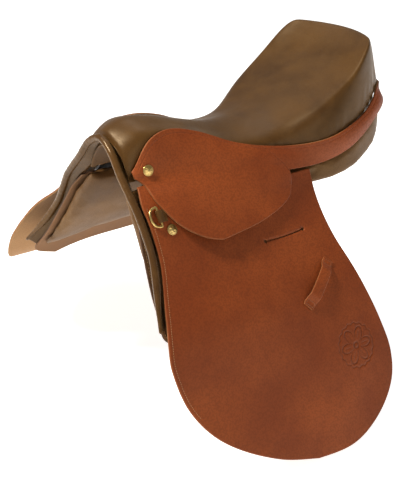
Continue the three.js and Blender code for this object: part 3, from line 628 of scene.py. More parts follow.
def woven(name, deep, light):
    """Coarse linen web: two crossed sets of threads."""
    n = Nodes(name)
    waves = []
    for axis in ("X", "Y"):
        wave = n.add("ShaderNodeTexWave", wave_type="BANDS", bands_direction=axis)
        n.put(wave, "Vector", n.place)
        for socket, value in (("Scale", 210.0), ("Distortion", 1.2), ("Detail", 2.0), ("Detail Scale", 3.0)):
            n.put(wave, socket, value)
        waves.append(wave.outputs["Fac"])
    weave = n.math("MAXIMUM", *waves)
    tone = n.mix(n.remap(weave, 0.2, 0.9), deep, light)
    tone = n.mix(n.remap(n.noise(40, 4), 0.4, 0.8, 0, 0.4), tone, deep)
    n.bump((weave, 0.6, 0.0004))
    return n.finish(tone, n.remap(weave, 0, 1, 0.95, 0.8), Sheen_Weight=0.15)


def laminated_wood(name, deep, light):
    """Beech plies: thin layers across the height with grain along the saddle."""
    n = Nodes(name)
    plies = n.add("ShaderNodeTexWave", wave_type="BANDS", bands_direction="Z")
    n.put(plies, "Vector", n.place)
    n.put(plies, "Scale", 95.0)
    n.put(plies, "Distortion", 0.6)
    grain = n.noise(130, 6, 0.7, n.stretched((1.0, 0.08, 1.0)), 0.4)
    tone = n.mix(n.remap(grain, 0.3, 0.75), deep, light)
    tone = n.mix(n.remap(plies.outputs["Fac"], 0.72, 0.95, 0, 0.6), tone, scaled(deep, 0.4))
    n.bump((grain, 0.3, 0.0005), (plies.outputs["Fac"], 0.2, 0.0004))
    return n.finish(tone, n.remap(grain, 0.2, 0.8, 0.42, 0.6), Coat_Weight=0.15, Coat_Roughness=0.3)


SEAT_LEATHER = calf_leather("seat_calf", (0.045, 0.018, 0.004), (0.1, 0.045, 0.01), 0.35)
# Panel calf: its own brown, with the light tone raised and made golden to paint the light falling on the
# panels' lower rims; the arch facing and knee rolls share it.
PANEL_LEATHER = calf_leather("panel_calf_painted_light", (0.065, 0.027, 0.009), (0.16, 0.078, 0.024), 0.46, 800.0)
ROLL_LEATHER = calf_leather("roll_calf", (0.045, 0.018, 0.005), (0.12, 0.055, 0.014), 0.26, 1000.0)
FLAP_LEATHER = pebbled_leather("flap_hide", (0.185, 0.036, 0.009), (0.275, 0.06, 0.014),
                               (0.26, 0.085, 0.028), (0.36, 0.2, 0.09))
LINING_LEATHER = plain_leather("lining_hide", (0.075, 0.034, 0.014), (0.15, 0.075, 0.032),
                               (0.05, 0.02, 0.01))
STRAP_LEATHER = plain_leather("strap_hide", (0.2, 0.075, 0.025), (0.31, 0.125, 0.045),
                              (0.09, 0.03, 0.012))
BRASS = metal("aged_brass", (0.42, 0.27, 0.08), (0.8, 0.58, 0.22), 0.24)
STEEL = metal("forged_steel", (0.27, 0.27, 0.28), (0.5, 0.5, 0.51), 0.36, (1.0, 0.1, 1.0), 0.3)
WOOD = laminated_wood("tree_beech", (0.36, 0.21, 0.1), (0.58, 0.4, 0.22))
WEB = woven("linen_web", (0.36, 0.3, 0.2), (0.62, 0.55, 0.42))
TAN_THREAD = thread("tan_thread", (0.5, 0.27, 0.11))
DARK_THREAD = thread("dark_thread", (0.22, 0.12, 0.055))


# ---------------------------------------------------------------- seat
SEAT = [
    # centre y, z   shoulder x, y, z   seam x, y, z
    (3, 0, 22, 3, -8, 52, 7, -46),
    (10, 10, 25, 10, 2, 55, 14, -38),
    (38, 20, 28, 38, 13, 50, 42, -4),
    (80, 15, 24, 80, 9, 42, 82, 4),
    (130, 0, 28, 130, -5, 48, 130, -8),
    (190, -16, 40, 190, -25, 66, 190, -34),
    (260, -16, 60, 260, -26, 88, 260, -48),
    (330, 8, 94, 326, 4, 118, 332, -42),
    (400, 46, 108, 388, 42, 114, 400, -25),
    (450, 80, 100, 428, 80, 102, 440, -6),
    (474, 88, 84, 448, 88, 92, 456, 5),
    (487, 50, 76, 466, 46, 84, 469, 11),
    (492, 15, 66, 482, 13, 76, 478, 13),
]
SHOULDER = 0.6
CENTRE = Curve([(0, r[0], r[1]) for r in SEAT])
SHOULDERS = Curve([r[2:5] for r in SEAT])
SEAM = Curve([r[5:8] for r in SEAT])
COVER, FOAM = 2.4, 11
TUCK = (2.5, 5.5)  # rows of the turned-in edge, below the seam
REAR_TUCK = 0.6  # how much deeper it is turned in round the cantle


def seat_point(t, across):
    t, across = np.broadcast_arrays(np.asarray(t, float), np.asarray(across, float))
    f = np.abs(across)
    centre, shoulder, seam = (c.at(t) for c in (CENTRE, SHOULDERS, SEAM))
    g = f / SHOULDER
    fall = g * g * (1.6 - 0.6 * g)
    top = np.stack([shoulder[..., 0] * g, lerp(centre[..., 1], shoulder[..., 1], g * g),
                    lerp(centre[..., 2], shoulder[..., 2], fall)], -1)
    angle = (f - SHOULDER) / (1 - SHOULDER) * np.pi / 2
    slope = (shoulder[..., 2] - centre[..., 2]) * 1.4 / shoulder[..., 0]
    z = (lerp(seam[..., 2], shoulder[..., 2], np.cos(angle))
         + slope * (seam[..., 0] - shoulder[..., 0]) * np.sin(2 * angle) * 0.25)
    side = np.stack([lerp(shoulder[..., 0], seam[..., 0], np.sin(angle)),
                     lerp(shoulder[..., 1], seam[..., 1], 1 - np.cos(angle)), z], -1)
    p = np.where((f < SHOULDER)[..., None], top, side)
    return p * np.where(across < 0, -1, 1)[..., None] ** np.array([1, 0, 0])


def grid_normals(grid):
    a = np.gradient(grid, axis=0)
    b = np.gradient(grid, axis=1)
    return unit(np.cross(b, a))


def softened(grid, rounds):
    """Evens out creases across a grid; its border stays."""
    grid = grid.copy()
    for _ in range(rounds):
        inner = (grid[:-2, 1:-1] + grid[2:, 1:-1] + grid[1:-1, :-2] + grid[1:-1, 2:]) / 4
        grid[1:-1, 1:-1] = lerp(grid[1:-1, 1:-1], inner, 0.5)
    return grid


def make_seat():
    rows, columns = 300, 129
    t = np.linspace(0, 1, rows)[:, None]
    a = np.linspace(-1, 1, columns)[None]
    top = softened(seat_point(t, a), 60)
    normal = grid_normals(top)
    if normal[rows // 2, columns // 2, 2] < 0:
        normal = -normal
    y, x = top[..., 1], top[..., 0]
    f = np.abs(a) + 0 * t
    near_seam = np.exp(-((1 - f) / 0.1) ** 2)
    gathers = np.sin(y * 0.31 + 2.1 * np.sin(y * 0.07 + x * 0.01))
    pucker = 0.35 * gathers * near_seam * smooth(60, 120, y)
    sag = -0.7 * np.exp(-((y - 232) / 70) ** 2) * (1 - f ** 2)
    waves = np.sin(x * 0.16 + 3 * np.sin(y * 0.045))
    fold = 0.3 * waves * np.exp(-((y - 120) / 45) ** 2) * (1 - f ** 4)
    outer = top + normal * (pucker + sag + fold)[..., None]
    filled = smooth(0.06, 0.14, t) * smooth(0.76, 0.68, t) * smooth(0.84, 0.66, f)
    thin = 1 - 0.75 * f ** 4 - 0.5 * smooth(0.25, 0, t)
    inner = top - normal * (COVER + FOAM * thin * filled)[..., None]
    tuck = []
    deeper = 1 + REAR_TUCK * smooth(0.72, 0.92, t[:, 0])
    for layer, in_by in ((outer, 0.5), (inner, 1.4)):
        sides = []
        for column, sign in ((0, -1), (-1, 1)):
            steps = []
            for down in TUCK:
                step = np.zeros((rows, 3))
                step[:, 0] = -sign * in_by * down / 5
                step[:, 2] = -down * deeper
                steps.append(layer[:, column] + step)
            sides.append(np.stack(steps, 1))
        wide = np.concatenate([sides[0][:, ::-1], layer, sides[1]], 1)
        back = [wide[-1:] - (0, in_by * down / 5, (1 + REAR_TUCK) * down) for down in TUCK]
        tuck.append(np.concatenate([wide, *back]))
    points, faces = closed_sheet(*tuck)
    seat = mesh_object("seat_leather", points, faces, "seat", SEAT_LEATHER,
                       ("seat_cover", "seat_foam"))


make_seat()

# ---------------------------------------------------------------- cantle band and skirts
# The strip below the seam, the band round the cantle and both skirts are cut from one surface: the
# skirt meets the strip edge to edge on the fold line.
BAND_BOTTOM = Curve([
    (62, 11, -50),
    *(tuple(drape_point("near", y, 0.0)) for y in (24, 70, 125, 190, 235)),
    (103, 265, -84), (112, 325, -82), (119, 384, -64), (107, 444, -33), (80, 483, -14), (0, 498, -12),
])
SKIRT = 4
BAND_OUT = 3  # middle of the leather, from the line between seam and fold
SKIRT_OUT = 3.2  # middle of the skirt leather, from the drape
TURN = 0.93  # share of the band's lower edge at which it turns round the cantle
SEAM_AT_TIP = 0.012
EASE = 34  # length over which the skirt eases on to the drape
SKIRT_END = 264
BAND_ROUND = 1.5  # radius of the band's cut edges
MIDDLE_Y = 240
EASED_TO, STRAIGHT_FROM = 235, 290  # where along the saddle the band stops following the skirt
BACK_HALF, BACK_Y, BACK_BOW, BACK_Z = 76, 480, 15, 10  # top of the band behind the cantle
CURL = 8  # how far the skirt's lower edge stands off the flap
STUD_PLACE = (0.045, 0.6)


def band_edges(t):
    """Top and bottom of the near half of the band; t runs from the front tip to the back."""
    t = np.asarray(t, float)
    bottom = BAND_BOTTOM.along(t)
    side = SEAM.along(lerp(SEAM_AT_TIP, 1, np.clip(t / TURN, 0, 1)))
    x = lerp(BACK_HALF, 0, np.clip((t - TURN) / (1 - TURN), 0, 1))
    rear = np.stack([x, BACK_Y + BACK_BOW * (1 - (x / BACK_HALF) ** 2), BACK_Z + 0 * x], -1)
    return np.where((t < TURN)[..., None], side, rear), bottom


BAND_T = np.linspace(0, 1, 1201)


def even(values, width=14):
    """Running mean along the band, with the ends kept."""
    kernel = np.ones(2 * width + 1) / (2 * width + 1)
    out = values.copy()
    for k in range(values.shape[1]):
        mirrored_end = values[-2:-width - 2:-1, k] * (-1 if k == 0 else 1)
        start = 2 * values[0, k] - values[width:0:-1, k]
        out[:, k] = np.convolve(np.concatenate([start, values[:, k], mirrored_end]), kernel, "valid")
    return out


def band_tables():
    top, bottom = band_edges(BAND_T)
    top = even(top)
    along = np.gradient(top + bottom, axis=0)
    along[-1] = (-1, 0, 0)
    out = unit(np.cross(bottom - top, along))
    away = np.sum(out * (top - (0, MIDDLE_Y, 0)) * (1, 1, 0), -1)
    out = even(unit(out * np.where(away < 0, -1, 1)[:, None]), 8)
    fall = drape_point("near", bottom[:, 1], 34.0) - drape_point("near", bottom[:, 1], 4.0)
    ease = unit(unit(bottom - top) * 0.55 + unit(fall) * 0.45)
    return top, bottom, unit(out), ease


BAND_TOP, BAND_LOW, BAND_NORMAL, BAND_EASE = band_tables()


def at_band(table, t):
    return np.stack([np.interp(t, BAND_T, table[:, k]) for k in range(3)], -1)


def band_middle(t, q):
    """Middle of the band's leather: q runs from the seam down to the lower edge."""
    t, q = np.broadcast_arrays(np.asarray(t, float), np.asarray(q, float))
    top, low, out, ease = (at_band(table, t) for table in (BAND_TOP, BAND_LOW, BAND_NORMAL, BAND_EASE))
    chord = low - top
    length = np.linalg.norm(chord, axis=-1, keepdims=True)
    k = q[..., None]
    straight = top + chord * k + out * (3 * np.sin(np.pi * k))
    eased = hermite(top, low, chord, ease * length, k)
    eased = eased + out * (1.5 * np.sin(np.pi * k) ** 2)
    w = smooth(STRAIGHT_FROM, EASED_TO, low[..., 1])[..., None]
    return lerp(straight, eased, w) + out * BAND_OUT


def skirt_middle(side, y, s):
    """Middle of the skirt's leather; it leaves the strip's lower edge and eases on to the drape."""
    y, s = np.broadcast_arrays(np.asarray(y, float), np.asarray(s, float))
    on = on_drape(side, y, s, SKIRT_OUT + CURL * smooth(EASE, 107, s))
    t = np.interp(y, BAND_LOW[:, 1], BAND_T)
    start = at_band(BAND_LOW, t) + at_band(BAND_NORMAL, t) * BAND_OUT
    start[..., 1] = y
    first = at_band(BAND_EASE, t) * EASE
    end = on_drape(side, y, np.full(s.shape, float(EASE)), SKIRT_OUT)
    last = (end - on_drape(side, y, np.full(s.shape, EASE - 1.0), SKIRT_OUT)) * EASE
    k = np.clip(s / EASE, 0, 1)[..., None]
    return np.where((s < EASE)[..., None], hermite(start, end, first, last, k), on)


def surface_normal(middle, a, b, da, db):
    across = middle(a + da, b) - middle(a - da, b)
    down = middle(a, b + db) - middle(a, b - db)
    return unit(np.cross(across, down))


def away_from_middle(normals, points):
    away = np.sum(normals * (points - (0, MIDDLE_Y, 20)) * (1, 0.2, 0), -1)
    return normals * np.where(away < 0, -1, 1)[..., None]


def band_surface(t, q, lift):
    p = band_middle(t, q)
    inner = np.clip(q, 0.02, 0.98)
    n = away_from_middle(surface_normal(band_middle, np.clip(t, 0.004, 0.996), inner, 0.003, 0.02), p)
    return p + n * np.asarray(lift, float)[..., None], n


def band_rows(length):
    """Distances down the band, closer together at the rounded edges and at the tooled crease."""
    fixed = np.array([0, 0.25, 0.6, 1.1, 1.8, 2.8, 4.4, 6.0, 7.0, 7.5, 8.0, 8.5, 9.0, 10.2, 12.0])
    scale = np.minimum(1, length / 20)[:, None]
    top = fixed[None] * scale
    tail = np.array([1.6, 0.9, 0.4, 0.12, 0])[None] * scale
    share = np.linspace(0, 1, 20)[None, 1:-1]
    middle = top[:, -1:] + (length[:, None] - tail[:, :1] - top[:, -1:]) * share
    return np.concatenate([top, middle, length[:, None] - tail], 1)


def band_grid(t, low_edge):
    """Outer and inner grids of a stretch of band, and the distance to its cut edges.

    low_edge says how far the lower edge is rounded, from 0 to 1.
    """
    top, low = at_band(BAND_TOP, t), at_band(BAND_LOW, t)
    length = np.linalg.norm(low - top, axis=-1)
    rows = band_rows(length)
    q = rows / length[:, None]
    far = length[:, None] - rows
    tip = np.linalg.norm(at_band(BAND_LOW, t) - at_band(BAND_LOW, np.zeros(1)), axis=-1)[:, None] + 0 * rows
    edge = np.minimum(rows, np.minimum(tip, np.where(low_edge[:, None] > 0.5, far, 99)))
    drop = edge_drop(BAND_ROUND, np.minimum(rows, tip))
    drop = np.maximum(drop, edge_drop(BAND_ROUND, far) * low_edge[:, None])
    crease = groove(rows, 8, 0.45, 0.6) * (length[:, None] > 24)
    tt = np.repeat(t[:, None], rows.shape[1], 1)
    outer, _ = band_surface(tt, q, SKIRT / 2 - drop + crease)
    inner, _ = band_surface(tt, q, -SKIRT / 2 + drop)
    return outer, inner, edge


def make_band():
    t_end = float(np.interp(SKIRT_END, BAND_LOW[:, 1], BAND_T))
    for side, sign in SIDES:
        t = np.concatenate([np.linspace(0, 0.012, 8)[:-1], np.linspace(0.012, t_end, 150)])
        outer, inner, edge = band_grid(t, np.zeros(len(t)))
        points, faces = closed_sheet(outer, inner)
        mesh_object(f"{side}_strip", flip(points, sign), faces, "seat", FLAP_LEATHER,
                    attributes=sheet_attributes(edge))
    t = np.linspace(t_end, 1, 190)
    outer, inner, edge = band_grid(t, smooth(t_end, t_end + 0.006, t))
    both = [np.concatenate([g, flip(g[-2::-1], -1)], 0) for g in (outer, inner)]
    edge = np.concatenate([edge, edge[-2::-1]], 0)
    points, faces = closed_sheet(*both)
    mesh_object("rear_band", points, faces, "seat", FLAP_LEATHER, ("cantle_band",),
                attributes=sheet_attributes(edge))


make_band()


def quarter_round(side, foot, steps):
    """Pattern points of a quarter ellipse, from a side of the pattern round to its lowest point."""
    angle = np.arange(1, steps + 1) / steps * np.pi / 2
    return [(lerp(foot[0], side[0], math.cos(k)), lerp(side[1], foot[1], math.sin(k))) for k in angle]


SKIRT_FRONT, SKIRT_FOOT = (20, 8), (106, 107)
SKIRT_LEFT = [(11, 0), SKIRT_FRONT, *quarter_round(SKIRT_FRONT, SKIRT_FOOT, 6)]
SKIRT_RIGHT = [(SKIRT_END, 0), (264, 8), (262, 32), (246, 52), (180, 82), SKIRT_FOOT]


def rounded_skirt(side):
    def place(y, s, lift):
        p = skirt_middle(side, y, s)
        n = surface_normal(lambda a, b: skirt_middle(side, a, b), y, np.maximum(s, 0.6), 1.0, 0.5)
        n = n * np.where(n[..., 0] < 0, -1, 1)[..., None]
        return p + n * np.asarray(lift, float)[..., None]
    return place


def make_skirts():
    flat, triangles, _ = cut_leather(outline_of(SKIRT_LEFT, SKIRT_RIGHT, 2.2), 4.0)
    free = np.vstack([plane(SKIRT_LEFT).along(np.linspace(0, 1, 160)),
                      plane(SKIRT_RIGHT).along(np.linspace(1, 0, 200))])
    edge = distance_to(flat, free, closed=False)
    for side, sign in SIDES:
        place = rounded_skirt(side)
        skirt = leather_piece(f"{side}_skirt_leather", place, (flat, triangles, edge), -SKIRT / 2,
                              SKIRT / 2, None, FLAP_LEATHER, (f"{side}_skirt",), 1.5,
                              lambda _, e: groove(e, 5.5, 0.4, 0.55), sign)
        hinge = place(np.array([140.0, 140.0]), np.array([0.0, 16.0]), np.zeros(2))
        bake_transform(skirt)


make_skirts()

# ---------------------------------------------------------------- flaps
FLAP = 4.2
FLAP_FOOT = (160, 453)
FLAP_FRONT, FLAP_BACK = 2, 310
KNEE, KNEE_FROM = (-42, 270), 90
REAR, REAR_FROM = (352, 330), 60


def flap_front(s):
    return float(lerp(FLAP_FRONT, KNEE[0], smooth(KNEE_FROM, KNEE[1], s)))


def flap_rear(s):
    return float(lerp(FLAP_BACK, REAR[0], smooth(REAR_FROM, REAR[1], s)))


FLAP_LEFT = [(10, 6), *((flap_front(s), s) for s in (36, 64, 90, 126, 162, 198, 234, 270)),
             *quarter_round(KNEE, FLAP_FOOT, 5)]
FLAP_RIGHT = [(FLAP_BACK, 13), *((flap_rear(s), s) for s in (60, 114, 168, 222, 276, 330)),
              *quarter_round(REAR, FLAP_FOOT, 4)]
SLIT = ((186, 110), (262, 100), 2.6, 1.2)  # ends, hole radius, width of the cut
ROSETTE = ((286, 300), 37)  # centre and radius of the tooled flower


def slit_loop():
    """Outline of the two round holes and the cut that joins them."""
    (y0, s0), (y1, s1), radius, width = SLIT
    a, b = np.array([y0, s0]), np.array([y1, s1])
    run = unit(b - a)
    side = np.array([-run[1], run[0]])
    turn = math.asin(width / 2 / radius)
    loop = []
    for centre, sign in ((a, -1), (b, 1)):
        for k in np.linspace(turn, 2 * np.pi - turn, 15):
            loop.append(centre - sign * run * math.cos(k) * radius + sign * side * math.sin(k) * radius)
        edge = side * width / 2 * -sign
        steps = np.linspace(0, 1, 16)[1:-1]
        start = centre - sign * run * radius
        stop = (b if sign < 0 else a) + sign * run * radius
        loop += [lerp(start, stop, k) + edge for k in steps]
    return np.array(loop)


def rosette(flat):
    """Depth of a pressed six-petal flower inside a scalloped border."""
    (y, s), radius = ROSETTE
    d = flat - (y, s)
    r = np.linalg.norm(d, axis=1) / radius
    angle = np.arctan2(d[:, 1], d[:, 0])
    petal = np.abs(np.cos(3 * angle)) ** 0.7
    rim = np.exp(-((r - (0.18 + 0.62 * petal)) / 0.045) ** 2)
    vein = np.exp(-((np.sin(3 * angle)) / 0.16) ** 2) * smooth(0.25, 0.35, r) * smooth(0.72, 0.55, r)
    heart = np.exp(-((r - 0.12) / 0.05) ** 2)
    border = np.exp(-((r - 0.93 - 0.03 * np.cos(18 * angle)) / 0.035) ** 2)
    return -1.1 * np.clip(rim + 0.5 * vein + heart + 0.8 * border, 0, 1)


def make_flaps():
    hole = slit_loop()
    pattern = cut_leather(outline_of(FLAP_LEFT, FLAP_RIGHT, 2.6), 5.0, (hole,),
                          (((np.array(ROSETTE[0])), ROSETTE[1] + 4, 1.1),))

    def relief(flat, _):
        border = distance_to(flat, outline_of(FLAP_LEFT, FLAP_RIGHT, 6))
        waves = 0.35 * np.sin(flat[:, 0] * 0.028 + 1.3) * np.sin(flat[:, 1] * 0.021)
        return rosette(flat) + waves * smooth(0, 60, border) + groove(border, 3.2, 0.35, 0.6)

    for side, sign in SIDES:
        leather_piece(f"{side}_flap_leather", lambda y, s, lift: on_drape(side, y, s, lift), pattern,
                      -FLAP, 0, f"{side}_flap", FLAP_LEATHER, (f"{side}_flap",), 1.6,
                      relief, sign, rosette)
        front = plane(FLAP_LEFT).along(np.linspace(0.055, 0.62, 240))
        line = inset(front, 5.6)[2:-2]
        line = line if line[:, 0].mean() > front[:, 0].mean() else inset(front, -5.6)[2:-2]
        points = on_drape(side, line[:, 0], line[:, 1], np.full(len(line), 0.05))
        normals = drape_normal(side, line[:, 0], line[:, 1])
        stitches(f"{side}_flap_stitches", [(flip(points, sign), flip(normals, sign))], f"{side}_flap",
                 TAN_THREAD, 3.4, 2.3, 0.32)


make_flaps()

# ---------------------------------------------------------------- flap fittings
KEEPER = ((214, 220), (284, 158), 18, 2.6)  # ends, width and thickness
KEEPER_RISE = 7


def keeper_lift(t):
    """Underside of the keeper above the flap: flat at both ends and raised between them."""
    return KEEPER_RISE * smooth(0.08, 0.26, t) * smooth(0.92, 0.74, t) + 0.25


def make_keepers():
    (y0, s0), (y1, s1), width, thick = KEEPER
    run = unit(np.array([y1 - y0, s1 - s0]))
    length = math.hypot(y1 - y0, s1 - s0)
    t = np.concatenate([[0, 0.003, 0.009, 0.018], np.linspace(0.03, 0.97, 60), [0.982, 0.991, 0.997, 1]])
    c = np.array([-0.5, -0.494, -0.478, -0.45, -0.4, -0.3, -0.15, 0, 0.15, 0.3, 0.4, 0.45, 0.478, 0.494, 0.5])
    tt, cc = np.meshgrid(t, c, indexing="ij")
    end_gap = np.minimum(tt, 1 - tt) * length
    narrow = 1 - 0.1 * (1 - smooth(0, 5, end_gap))
    across = cc * width * narrow
    y = lerp(y0, y1, tt) - run[1] * across
    s = lerp(s0, s1, tt) + run[0] * across
    edge = np.minimum((0.5 - np.abs(cc)) * width, end_gap)
    drop = edge_drop(0.9, edge)
    lift = keeper_lift(tt)
    cup = -0.5 * (np.abs(cc) * 2) ** 2 * smooth(0.1, 0.3, tt) * smooth(0.9, 0.7, tt)
    crease = groove(edge, 2.6, 0.3, 0.35)
    for side, sign in SIDES:
        outer = on_drape(side, y, s, lift + thick - drop + cup + crease)
        inner = on_drape(side, y, s, lift + drop + cup)
        points, faces = closed_sheet(outer, inner)
        mesh_object(f"{side}_keeper", flip(points, sign), faces, f"{side}_flap", FLAP_LEATHER,
                    (f"{side}_flap_keeper",),
                    attributes=sheet_attributes(edge))
        lines = []
        for end, inwards in ((0, 1), (1, -1)):
            corners = [(0.012, -0.36), (0.012, 0.36), (0.1, 0.36), (0.1, -0.36), (0.012, -0.36)]
            loop = []
            for (ta, ca), (tb, cb) in zip(corners, corners[1:]):
                for k in np.linspace(0, 1, 8)[:-1]:
                    loop.append((end + inwards * lerp(ta, tb, k) + inwards * 0.022, lerp(ca, cb, k) * width))
            loop = np.array(loop)
            yy = lerp(y0, y1, loop[:, 0]) - run[1] * loop[:, 1]
            ss = lerp(s0, s1, loop[:, 0]) + run[0] * loop[:, 1]
            up = keeper_lift(loop[:, 0]) + thick
            lines.append((flip(on_drape(side, yy, ss, up), sign), flip(drape_normal(side, yy, ss), sign)))
        stitches(f"{side}_keeper_stitches", lines, f"{side}_flap", DARK_THREAD,
                 2.6, 1.8, 0.26)


make_keepers()


def stud(name, centre, normal, radius, height, petals, body, replaced):
    """A domed brass stud with a rolled rim and a plain flower pressed into its face."""
    profile = [(0.97, 0), (1.0, 0.1), (1.0, 0.3), (0.96, 0.44), (0.88, 0.5), (0.82, 0.46), (0.78, 0.5),
               (0.7, 0.66), (0.6, 0.78), (0.5, 0.86), (0.4, 0.92), (0.3, 0.96), (0.2, 0.99), (0.1, 1.0)]
    sides = 48
    angle = np.linspace(0, 2 * np.pi, sides, endpoint=False)
    axis = unit(normal)
    u = unit(np.cross(axis, (0.3, 1, 0.2)))
    v = np.cross(axis, u)
    rings = []
    for share, up in profile:
        carve = np.abs(np.cos(petals * angle / 2)) ** 2 * np.exp(-((share - 0.5) / 0.16) ** 2) * 0.22
        r = share * radius
        rings.append(centre + (u * np.cos(angle)[:, None] + v * np.sin(angle)[:, None]) * r
                     + axis * ((up - carve) * height)[:, None])
    points = np.vstack(rings + [(centre + axis * height)[None], (centre + 0 * axis)[None]])
    n = len(profile)
    faces = grid_faces(n, sides, 0, True)
    tip, base = n * sides, n * sides + 1
    for c in range(sides):
        d = (c + 1) % sides
        faces += [((n - 1) * sides + c, (n - 1) * sides + d, tip), (d, c, base)]
    mesh_object(name, points, faces, body, BRASS, (replaced,))


NAIL_PLACE = (34, 80)
D_RING = (19, 58, 30, 18, 3.4)  # y, s, length, reach and height of the middle of the wire
RING_WIRE = 1.9
CHAPE_WIDTH, CHAPE = 17, 1.5
STUD_SIZE, NAIL_SIZE = (8.3, 3.6, 8), (8.0, 3.2, 5)  # radius, height, petals


def make_brass():
    for side, sign in SIDES:
        p, n = band_surface(*(np.array([v]) for v in (*STUD_PLACE, SKIRT / 2 + 0.1)))
        stud(f"{side}_stud", flip(p[0], sign), flip(n[0], sign), *STUD_SIZE, "seat", f"{side}_skirt_stud")
        y, s = (np.array([float(v)]) for v in NAIL_PLACE)
        p, n = on_drape(side, y, s, np.array([0.3])), drape_normal(side, y, s)
        stud(f"{side}_nail", flip(p[0], sign), flip(n[0], sign), *NAIL_SIZE, f"{side}_flap",
             f"{side}_flap_nail")
        make_ring(side, sign)


def make_ring(side, sign):
    y, s, length, reach, lift = D_RING
    half, out = length / 2 - RING_WIRE, reach - RING_WIRE * 2
    path = [(0, -half), (0, -half / 2), (0, 0), (0, half / 2), (0, half), (3, half + 0.6)]
    for k in range(1, 8):
        angle = np.pi / 2 - k / 8 * np.pi
        path.append((out * 0.35 + out * 0.65 * math.cos(angle), half * math.sin(angle)))
    path.append((3, -half - 0.6))
    path = np.array(path)
    on = on_drape(side, y - path[:, 0], s + path[:, 1], np.full(len(path), float(lift)))
    centres = Curve(on, closed=True).along(np.linspace(0, 1, 97)[:-1])
    up = drape_normal(side, np.array([float(y)]), np.array([float(s)]))[0]
    points, faces = tube(centres, RING_WIRE, RING_WIRE, up, 16, True)
    mesh_object(f"{side}_ring", flip(points, sign), faces, f"{side}_ring", BRASS,
                (f"{side}_d_ring",))

    angle = np.linspace(-0.5 * np.pi, -1.5 * np.pi, 22)
    wrap = np.stack([np.cos(angle) * 3.2, np.sin(angle) * 3.0 + 0.45], -1)
    lower = np.array([(11.5, -2.35), (8, -2.4), (4, -2.5)])
    upper = np.array([(2.5, 3.2), (5, 2.2), (7.5, 0.5), (9.5, -0.5), (11.8, -0.75)])
    line = Curve(np.vstack([lower, wrap, upper])).along(np.linspace(0, 1, 70))
    along = unit(np.gradient(line, axis=0))
    outward = np.stack([along[:, 1], -along[:, 0]], -1)
    c = np.array([-0.5, -0.488, -0.46, -0.42, -0.3, 0, 0.3, 0.42, 0.46, 0.488, 0.5])
    edge = (0.5 - np.abs(c)) * CHAPE_WIDTH
    drop = edge_drop(0.65, edge)
    layers = []
    for half_thick in (CHAPE / 2, -CHAPE / 2):
        grid = []
        for k in range(len(c)):
            q = line + outward * (half_thick - np.sign(half_thick) * drop[k])
            grid.append(on_drape(side, y + q[:, 0], np.full(len(q), s + c[k] * CHAPE_WIDTH), lift + q[:, 1]))
        layers.append(np.stack(grid, 1))
    points, faces = closed_sheet(*layers)
    edges = np.tile(np.repeat(edge[None], len(line), 0).ravel(), 2)
    mesh_object(f"{side}_chape", flip(points, sign), faces, f"{side}_flap", ROLL_LEATHER,
                (f"{side}_d_ring_chape",), attributes={"edge": edges, "back": edges * 0})


make_brass()

# ---------------------------------------------------------------- arch and panels
ROLL_AHEAD, ROLL_LIFT = 10, -3
ROLL_DOWN = (40, 75, 110, 145, 180, 212)  # places down the panel front
ROLL = 5.5
FACING = [(0, -13), (15, -17.5), (27, -28), (38, -43), (46, -60)]
FACING_THICK = 2.2
FLANGE_TOP = [(0, 10, -12), (27, 10, -27), (49, 10, -58)]
FLANGE_BACK, FLANGE_LIFT, FLANGE = 1, -16.0, 1.4
ARCH = [(0, -3, -2), (30, -5, -15), (56, -7, -44),
        *(tuple(on_drape("near", flap_front(s) - ROLL_AHEAD, s, ROLL_LIFT)) for s in ROLL_DOWN)]


def make_arch():
    path = [flip(p, -1) for p in ARCH[:0:-1]] + [np.array(p, float) for p in ARCH]
    curve = Curve(path)
    t = np.concatenate([[0, 0.0008, 0.0022, 0.0045], np.linspace(0.008, 0.992, 420),
                        [0.9955, 0.9978, 0.9992, 1]])
    centres = curve.along(t)
    thin = ROLL * (0.45 + 0.55 * smooth(0, 0.12, t) * smooth(1, 0.88, t))
    cap = round_cap(t, 0.006)
    pinch = 1 + 0.025 * np.sin(t * 160) * np.sin(t * 47 + 1) + 0.012 * np.sin(t * 410)
    points, faces = tube(centres, thin * cap * pinch, thin * cap * pinch, (0, 1, 0), 24)
    roll = mesh_object("arch_roll_leather", points, faces, "seat", ROLL_LEATHER,
                       ("arch_roll",))

    profile = plane(FACING)
    u = np.linspace(-1, 1, 61)
    p = profile.along(np.abs(u))
    ahead, behind = (profile.along(np.clip(np.abs(u) + step, 0, 1)) for step in (0.01, -0.01))
    slope = unit(ahead - behind)
    layers = []
    for lift in (0, -FACING_THICK):
        x = np.sign(u) * (p[:, 0] - slope[:, 1] * lift)
        z = p[:, 1] + slope[:, 0] * lift
        grid = [np.stack([x, np.full(len(u), y), z - 0.4 * np.sin(y * 0.2) ** 2], -1)
                for y in np.linspace(4, 62, 25)]
        layers.append(np.stack(grid, 1))
    points, faces = closed_sheet(*layers)
    mesh_object("arch_facing", points, faces, "seat", PANEL_LEATHER, ("arch_lining",))


def make_flange():
    """Leather from the back of the roll to the facing and the panel fronts, one strip over the arch."""
    near_front = [np.array(p, float) + (0, 2, 0) for p in ARCH]
    near_back = [np.array(p, float) for p in FLANGE_TOP]
    near_back += [on_drape("near", flap_front(s) + FLANGE_BACK, s, FLANGE_LIFT) for s in ROLL_DOWN]
    lines = [Curve([flip(p, -1) for p in side[:0:-1]] + list(side)) for side in (near_front, near_back)]
    t = np.linspace(0.004, 0.996, 320)
    front, back = (line.at(t) for line in lines)
    share = np.linspace(0, 1, 7)[None, :, None]
    grid = lerp(front[:, None], back[:, None], share)
    normal = grid_normals(grid)
    points, faces = closed_sheet(grid + normal * FLANGE / 2, grid - normal * FLANGE / 2)
    mesh_object("roll_flange", points, faces, "seat", ROLL_LEATHER)


make_arch()
make_flange()


